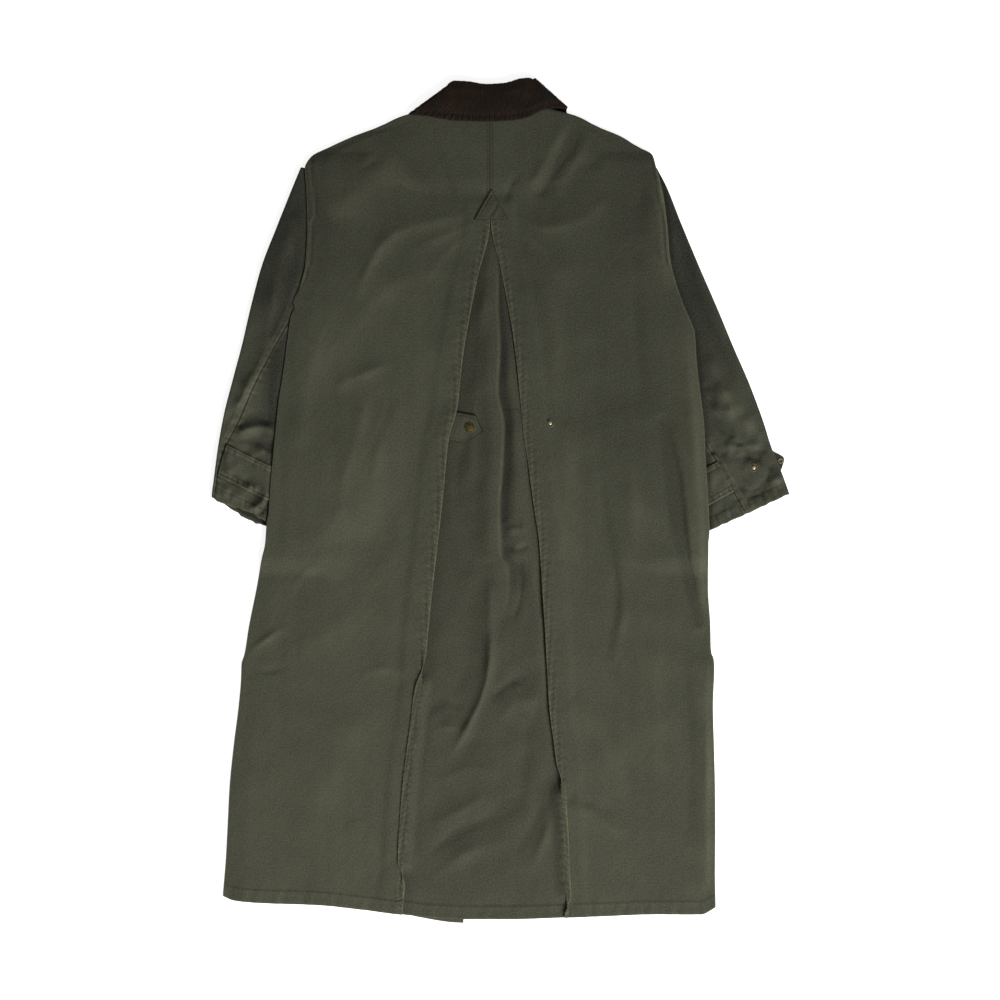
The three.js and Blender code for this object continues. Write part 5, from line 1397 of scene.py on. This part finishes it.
def stitches(name, rows, trees, supports, seed):
    """Sewing stitches in one mesh: short rounded lengths of thread that dip into the cloth at both ends."""
    rng = np.random.default_rng(seed)
    sizes = bpy.context.scene.coat_stitching
    places = np.concatenate([stitch_row(row, sizes.pitch / MM, 0.12, rng) for row in rows])
    met = [touch(trees, supports, x, y) for x, y, _ in places]
    shown = np.array([m is not None for m in met])
    centres = np.array([m[0] for m in met if m is not None])
    heading = places[shown, 2] + rng.uniform(-0.05, 0.05, int(shown.sum()))
    along = 0.5 * sizes.length / MM * np.linspace(-1, 1, 5)
    size = 0.5 * sizes.thread / MM * np.array([0.35, 0.9, 1.0, 0.9, 0.35])
    sink = np.array([-0.34, 0.0, 0.1, 0.0, -0.34])
    around = np.arange(STITCH_SIDES) * math.tau / STITCH_SIDES
    ahead = np.repeat(along, STITCH_SIDES)
    aside = (size[:, None] * np.cos(around)).ravel()
    above = (sink[:, None] + size[:, None] * np.sin(around)).ravel()
    c, s = np.cos(heading)[:, None], np.sin(heading)[:, None]
    local = np.stack([c * ahead - s * aside, s * ahead + c * aside, np.broadcast_to(above, (len(c), above.size))], -1)
    points = (local + centres[:, None]).reshape(-1, 3) * MM
    faces = ring_faces(5, STITCH_SIDES)
    faces = (faces[None] + 5 * STITCH_SIDES * np.arange(len(centres))[:, None, None]).reshape(-1, 4)
    uv = np.stack([ahead, np.tile(around, 5) * sizes.thread / MM / 2], -1) * MM
    return grid_object(name, points, faces, np.tile(uv, (len(centres), 1)), {})


def sleeve_line(side, place):
    """A line along a sleeve: the back seam moved across by a number of millimetres."""
    row = sleeve_sections(side)
    dx = row["inner_x"] - row["outer_x"]
    dy = row["inner_y"] - row["outer_y"]
    width = np.hypot(dx, dy)
    d = np.maximum(row["seam"] * width, 5.0) + place
    return np.concatenate([row["outer_x"] + dx * d / width, row["outer_y"] + dy * d / width], axis=1)


def cuff_line(side, up):
    """A line across the cuff, some way up from its edge."""
    rows = left_sleeve if side < 0 else right_sleeve
    outer = np.array([[rows["outer_x"][i], rows["outer_y"][i]] for i in (-1, -2)])
    inner = np.array([[rows["inner_x"][i], rows["inner_y"][i]] for i in (-1, -2)])
    start, end = (p[0] + (p[1] - p[0]) * up / np.linalg.norm(p[1] - p[0]) for p in (outer, inner))
    return [start, end]


def strap_line(side, place):
    """A line along the strap's upper run, at a share of its width."""
    rows = left_strap if side < 0 else right_strap
    rows = dict(rows, t=np.array([0.0, 0.5, 1.0]))
    ends = [(curve(rows, "t", f"{part}_x", place), curve(rows, "t", f"{part}_y", place)) for part in ("sewn", "inner")]
    return ends


def collar_line(inward):
    """A line along the collar's fall, some way in from its edge."""
    rows = {key: value[7:15] for key, value in collar_stations.items()}
    reach = np.hypot(rows["roll_x"] - rows["edge_x"], rows["roll_y"] - rows["edge_y"])
    x = rows["edge_x"] + (rows["roll_x"] - rows["edge_x"]) * inward / reach
    y = rows["edge_y"] + (rows["roll_y"] - rows["edge_y"]) * inward / reach
    return rounded(np.stack([x, y], -1), 60)


def hinge_line(rows, aside):
    v = np.arange(HEM_LEVEL + 2, APEX_LEVEL, 4)
    return np.stack([curve(rows, "y", "x", v) + aside, follow_hem(curve(rows, "y", "x", v), v, back_hem)], -1)


# Sizes and colours that a user may change


class CoatColours(bpy.types.PropertyGroup):
    """Colours of the cloth, the fastenings and the thread."""

    body: bpy.props.FloatVectorProperty(
        name="Body", description="Washed twill of the body", subtype="COLOR", default=(0.0640, 0.0662, 0.0404))
    sleeve: bpy.props.FloatVectorProperty(
        name="Sleeves", description="Twill of the sleeves and straps", subtype="COLOR",
        default=(0.0650, 0.0675, 0.0425))
    underlay: bpy.props.FloatVectorProperty(
        name="Underlay", description="Twill inside the pleat", subtype="COLOR", default=(0.0565, 0.0576, 0.0353))
    # How dark the body's cloth goes at the full depth of its painted shade and least faded dye, as a share of its
    # colour
    deep: bpy.props.FloatProperty(
        name="Unfaded share", description="How light the least faded cloth is", subtype="FACTOR", min=0, max=1,
        default=0.55)
    corduroy: bpy.props.FloatVectorProperty(
        name="Collar", description="Corduroy of the collar", subtype="COLOR", default=(0.0180, 0.0110, 0.0060))
    cap: bpy.props.FloatVectorProperty(
        name="Snap cap", description="Aged brass of the snap cap", subtype="COLOR", default=(0.20, 0.156, 0.046))
    stud: bpy.props.FloatVectorProperty(
        name="Studs", description="Plated brass of the studs", subtype="COLOR", default=(0.62, 0.55, 0.36))
    thread: bpy.props.FloatVectorProperty(
        name="Thread", description="Sewing thread", subtype="COLOR", default=(0.088, 0.091, 0.064))
    collar_thread: bpy.props.FloatVectorProperty(
        name="Collar thread", description="Thread of the collar", subtype="COLOR", default=(0.022, 0.016, 0.011))


class CoatStitching(bpy.types.PropertyGroup):
    """Sizes of the sewing and of the corduroy."""

    pitch: bpy.props.FloatProperty(
        name="Stitch pitch", description="From one stitch to the next", unit="LENGTH", default=0.0042)
    length: bpy.props.FloatProperty(
        name="Stitch length", description="Length of a stitch that shows", unit="LENGTH", default=0.0030)
    thread: bpy.props.FloatProperty(
        name="Thread", description="Thickness of the thread", unit="LENGTH", default=0.0006)
    collar: bpy.props.FloatProperty(
        name="Collar thickness", description="Thickness of the corduroy", unit="LENGTH", default=0.0020)
    wale: bpy.props.FloatProperty(
        name="Wale pitch", description="From one rib of the corduroy to the next", unit="LENGTH", default=0.0031)


class CoatStage(bpy.types.PropertyGroup):
    """The floor, the light and the camera."""

    view_width: bpy.props.FloatProperty(
        name="View width", description="Width of the floor that the camera sees", unit="LENGTH", default=1.5)
    ambient: bpy.props.FloatProperty(name="Sky", description="Strength of the light from all round", default=0.26)
    key: bpy.props.FloatProperty(name="Key light", description="Power of the large lamp", default=380.0)
    floor: bpy.props.FloatVectorProperty(
        name="Floor", description="Colour of the floor", subtype="COLOR", default=(0.88, 0.88, 0.87))
    glow: bpy.props.FloatProperty(name="Floor glow", description="Light that the floor gives", default=0.75)


# Operators


class COAT_OT_fronts(bpy.types.Operator):
    """Make the two fronts, which lie beneath the back."""

    bl_idname = "coat.fronts"
    bl_label = "Fronts"

    def execute(self, context):
        for side, node in ((-1, "front_left"), (1, "front_right")):
            slot_finish(front_panel(side), "twill_body", cloth_of("twill_body"), node)
        return {"FINISHED"}


class COAT_OT_sleeves(bpy.types.Operator):
    """Make the top and under sleeves."""

    bl_idname = "coat.sleeves"
    bl_label = "Sleeves"

    def execute(self, context):
        for side, word in ((-1, "left"), (1, "right")):
            for part in ("top", "under"):
                piece = sleeve_piece(side, part)
                slot_finish(piece, "twill_sleeve", cloth_of("twill_sleeve"), f"sleeve_{word}_{part}")
        return {"FINISHED"}


class COAT_OT_straps(bpy.types.Operator):
    """Make the cuff straps."""

    bl_idname = "coat.straps"
    bl_label = "Cuff straps"

    def execute(self, context):
        for side, node in ((-1, "cuff_strap_left"), (1, "cuff_strap_right")):
            slot_finish(strap_piece(side), "twill_sleeve", cloth_of("twill_sleeve"), node)
        return {"FINISHED"}


class COAT_OT_underlay(bpy.types.Operator):
    """Make the underlay of the pleat."""

    bl_idname = "coat.underlay"
    bl_label = "Pleat underlay"

    def execute(self, context):
        slot_finish(underlay_panel(), "twill_underlay", cloth_of("twill_underlay"), "pleat_underlay")
        return {"FINISHED"}


class COAT_OT_back(bpy.types.Operator):
    """Make the two halves of the back with their stitched pleat edges."""

    bl_idname = "coat.back"
    bl_label = "Back"

    def execute(self, context):
        for side, node in ((-1, "back_left"), (1, "back_right")):
            slot_finish(back_panel(side), "twill_body", cloth_of("twill_body"), node)
        return {"FINISHED"}


class COAT_OT_collar(bpy.types.Operator):
    """Make the corduroy collar."""

    bl_idname = "coat.collar"
    bl_label = "Collar"

    def execute(self, context):
        sizes = context.scene.coat_stitching
        colour = tuple(context.scene.coat_colours.corduroy) + (1.0,)
        piece = collar_piece(sizes.collar / MM, sizes.wale / MM)
        slot_finish(piece, "corduroy", finish_of("brushed_corduroy", corduroy_finish, colour), "collar")
        return {"FINISHED"}


class COAT_OT_small_cloth(bpy.types.Operator):
    """Make the patch above the pleat and the pointed tab at its edge."""

    bl_idname = "coat.small_cloth"
    bl_label = "Patch and tab"

    def execute(self, context):
        slot_finish(patch_piece(), "twill_body", cloth_of("twill_body"), "pleat_patch")
        slot_finish(tab_piece(), "twill_body", cloth_of("twill_body"), "pleat_tab")
        return {"FINISHED"}


class COAT_OT_snaps(bpy.types.Operator):
    """Make the snap cap on the tab, the two studs and the snap at the strap's end."""

    bl_idname = "coat.snaps"
    bl_label = "Snaps"

    def execute(self, context):
        colours = context.scene.coat_colours
        cap = finish_of("aged_cap", brass_finish, tuple(colours.cap) + (1.0,), 0.55)
        stud = finish_of("aged_stud", brass_finish, tuple(colours.stud) + (1.0,), 0.35)
        snaps = [("pleat_tab_snap", TAB_SNAP, cap_profile, cap, "brass_cap", ["pleat_tab_cloth"]),
                 ("pleat_stud", PLEAT_STUD, stud_profile, stud, "brass_stud", ["back_right_cloth"]),
                 ("cuff_stud_right", SLEEVE_STUD, stud_profile, stud, "brass_stud", ["sleeve_right_top_cloth"]),
                 ("cuff_strap_snap_right", STRAP_SNAP, socket_profile, stud, "brass_stud", ["cuff_strap_right_cloth"])]
        for node, (x, y, radius), shape, finish, slot, on in snaps:
            met = touch(surface_trees(on), on, x, y)
            if met is None:
                raise RuntimeError(f"{node} has no cloth beneath it")
            place, facing = met
            profile, wear = shape(radius)
            axis = np.array([0.35, 0.35, 1.0]) * (facing if facing[2] > 0 else -facing)
            piece = turned_piece(f"{node}_metal", profile, wear, place - 0.35 * axis, axis)
            slot_finish(piece, slot, finish, node)
        return {"FINISHED"}


class COAT_OT_stitches(bpy.types.Operator):
    """Sew the hem, the pleat, the centre seam, the armholes, the sleeves, the straps and the collar."""

    bl_idname = "coat.stitches"
    bl_label = "Stitching"

    def execute(self, context):
        thread = finish_of("sewing_thread", thread_finish, tuple(context.scene.coat_colours.thread) + (1.0,))
        cloth = [name for name in pieces if name.endswith("_cloth")]
        trees = surface_trees(cloth)
        hem_x = np.arange(-408, 322, 4.0)
        body_rows = [
            np.stack([hem_x, curve(back_hem, "x", "y", hem_x) + HEM_STITCH], -1),
            hinge_line(left_hinge, -0.4), hinge_line(right_hinge, 0.4),
            [(-19.3, 468), (-19.3, 569)], [(-9.9, 468), (-9.9, 569)], [(-86, 141), (-66, 136.5)],
        ] + ARMHOLE_ROWS
        patch_rows = [[(-33.8, 423.6), (7.6, 423.6)], [(-35.0, 424.5), (-15.0, 463)], [(8.8, 424.5), (-11.8, 463)],
                      [(-23.0, 444), (-2.5, 444)]]
        tab_rows = [[(-71, 94), (-52.8, 88), (-32, 101.5), (-28.6, 104.8), (-33, 115), (-37.4, 124.8), (-62, 131.0)]]
        sleeve_rows = [sleeve_line(-1, -1.6), sleeve_line(-1, -10.5), sleeve_line(1, -1.6), sleeve_line(1, -8.0),
                       cuff_line(-1, 17.5), cuff_line(1, 17.5)]
        strap_rows = [strap_line(side, share) for side in (-1, 1) for share in (0.06, 0.2, 0.8, 0.94)]
        groups = [("back", body_rows, ["back_left_cloth", "back_right_cloth", "pleat_underlay_cloth"], "twill_body"),
                  ("patch", patch_rows, ["pleat_patch_cloth"], "twill_body"),
                  ("tab", tab_rows, ["pleat_tab_cloth"], "twill_body"),
                  ("sleeve", sleeve_rows, [n for n in cloth if n.startswith("sleeve")], "twill_sleeve"),
                  ("strap", strap_rows, ["cuff_strap_left_cloth", "cuff_strap_right_cloth"], "twill_sleeve"),
                  ("collar", [collar_line(8.5)], ["collar_cloth"], "corduroy")]
        brown = finish_of("collar_thread", thread_finish, tuple(context.scene.coat_colours.collar_thread) + (1.0,))
        for seed, (word, rows, supports, slot) in enumerate(groups, 100):
            finish = brown if word == "collar" else thread
            slot_finish(stitches(f"{word}_stitches", rows, trees, supports, seed), slot, finish)
        return {"FINISHED"}


class COAT_OT_cut_sizes(bpy.types.Operator):
    """Does nothing: it states no cut sizes."""

    bl_idname = "coat.cut_sizes"
    bl_label = "Cut sizes"

    def execute(self, context):
        return {"FINISHED"}


class COAT_OT_stage(bpy.types.Operator):
    """Make the floor, the light and the camera that looks straight down."""

    bl_idname = "coat.stage"
    bl_label = "Stage"

    def execute(self, context):
        scene = context.scene
        stage = scene.coat_stage
        edge = 9.0
        mesh = bpy.data.meshes.new("floor")
        mesh.from_pydata([(-edge, -edge, 0), (edge, -edge, 0), (edge, edge, 0), (-edge, edge, 0)], [], [(0, 1, 2, 3)])
        floor = bpy.data.objects.new("floor", mesh)
        scene.collection.objects.link(floor)
        mesh.materials.append(floor_finish("floor", tuple(stage.floor) + (1.0,), stage.glow))
        world = bpy.data.worlds.new("sky")
        world.use_nodes = True
        sky = world.node_tree.nodes["Background"]
        sky.inputs["Color"].default_value = (1.0, 1.0, 1.0, 1.0)
        sky.inputs["Strength"].default_value = stage.ambient
        scene.world = world
        lamp = bpy.data.lights.new("key", "AREA")
        lamp.shape = "DISK"
        lamp.size = 2.4
        lamp.energy = stage.key
        lamp.color = (1.0, 0.99, 0.965)
        key = bpy.data.objects.new("key", lamp)
        key.location = (2.3, -3.6, 2.5)
        key.rotation_euler = (Vector((0.0, -0.05, 0.0)) - key.location).to_track_quat("-Z", "Y").to_euler()
        key.visible_camera = False
        scene.collection.objects.link(key)
        data = bpy.data.cameras.new("camera")
        data.lens = 100
        data.sensor_width = 36
        camera = bpy.data.objects.new("camera", data)
        camera.location = (0.0, 0.00075, stage.view_width * data.lens / data.sensor_width + 0.006)
        scene.collection.objects.link(camera)
        scene.camera = camera
        scene.view_settings.view_transform = "Standard"
        return {"FINISHED"}


class COAT_PT_panel(bpy.types.Panel):
    """The coat's pieces, in the order that they are made."""

    bl_label = "Coat"
    bl_idname = "COAT_PT_panel"
    bl_space_type = "VIEW_3D"
    bl_region_type = "UI"
    bl_category = "Coat"

    def draw(self, context):
        for group in (context.scene.coat_colours, context.scene.coat_stitching, context.scene.coat_stage):
            for key in group.__annotations__:
                self.layout.prop(group, key)
        for operator in OPERATORS:
            self.layout.operator(operator.bl_idname)


OPERATORS = (COAT_OT_stage, COAT_OT_fronts, COAT_OT_sleeves, COAT_OT_straps, COAT_OT_underlay, COAT_OT_back,
             COAT_OT_collar, COAT_OT_small_cloth, COAT_OT_snaps, COAT_OT_stitches, COAT_OT_cut_sizes)
CLASSES = (CoatColours, CoatStitching, CoatStage) + OPERATORS + (COAT_PT_panel,)


def register():
    for cls in CLASSES:
        bpy.utils.register_class(cls)
    bpy.types.Scene.coat_colours = bpy.props.PointerProperty(type=CoatColours)
    bpy.types.Scene.coat_stitching = bpy.props.PointerProperty(type=CoatStitching)
    bpy.types.Scene.coat_stage = bpy.props.PointerProperty(type=CoatStage)


def unregister():
    del bpy.types.Scene.coat_stage
    del bpy.types.Scene.coat_stitching
    del bpy.types.Scene.coat_colours
    for cls in reversed(CLASSES):
        bpy.utils.unregister_class(cls)


def main():
    register()
    bpy.ops.coat.stage()
    bpy.ops.coat.fronts()
    bpy.ops.coat.sleeves()
    bpy.ops.coat.straps()
    bpy.ops.coat.underlay()
    bpy.ops.coat.back()
    bpy.ops.coat.collar()
    bpy.ops.coat.small_cloth()
    bpy.ops.coat.snaps()
    bpy.ops.coat.stitches()
    bpy.ops.coat.cut_sizes()


if __name__ == "__main__":
    main()
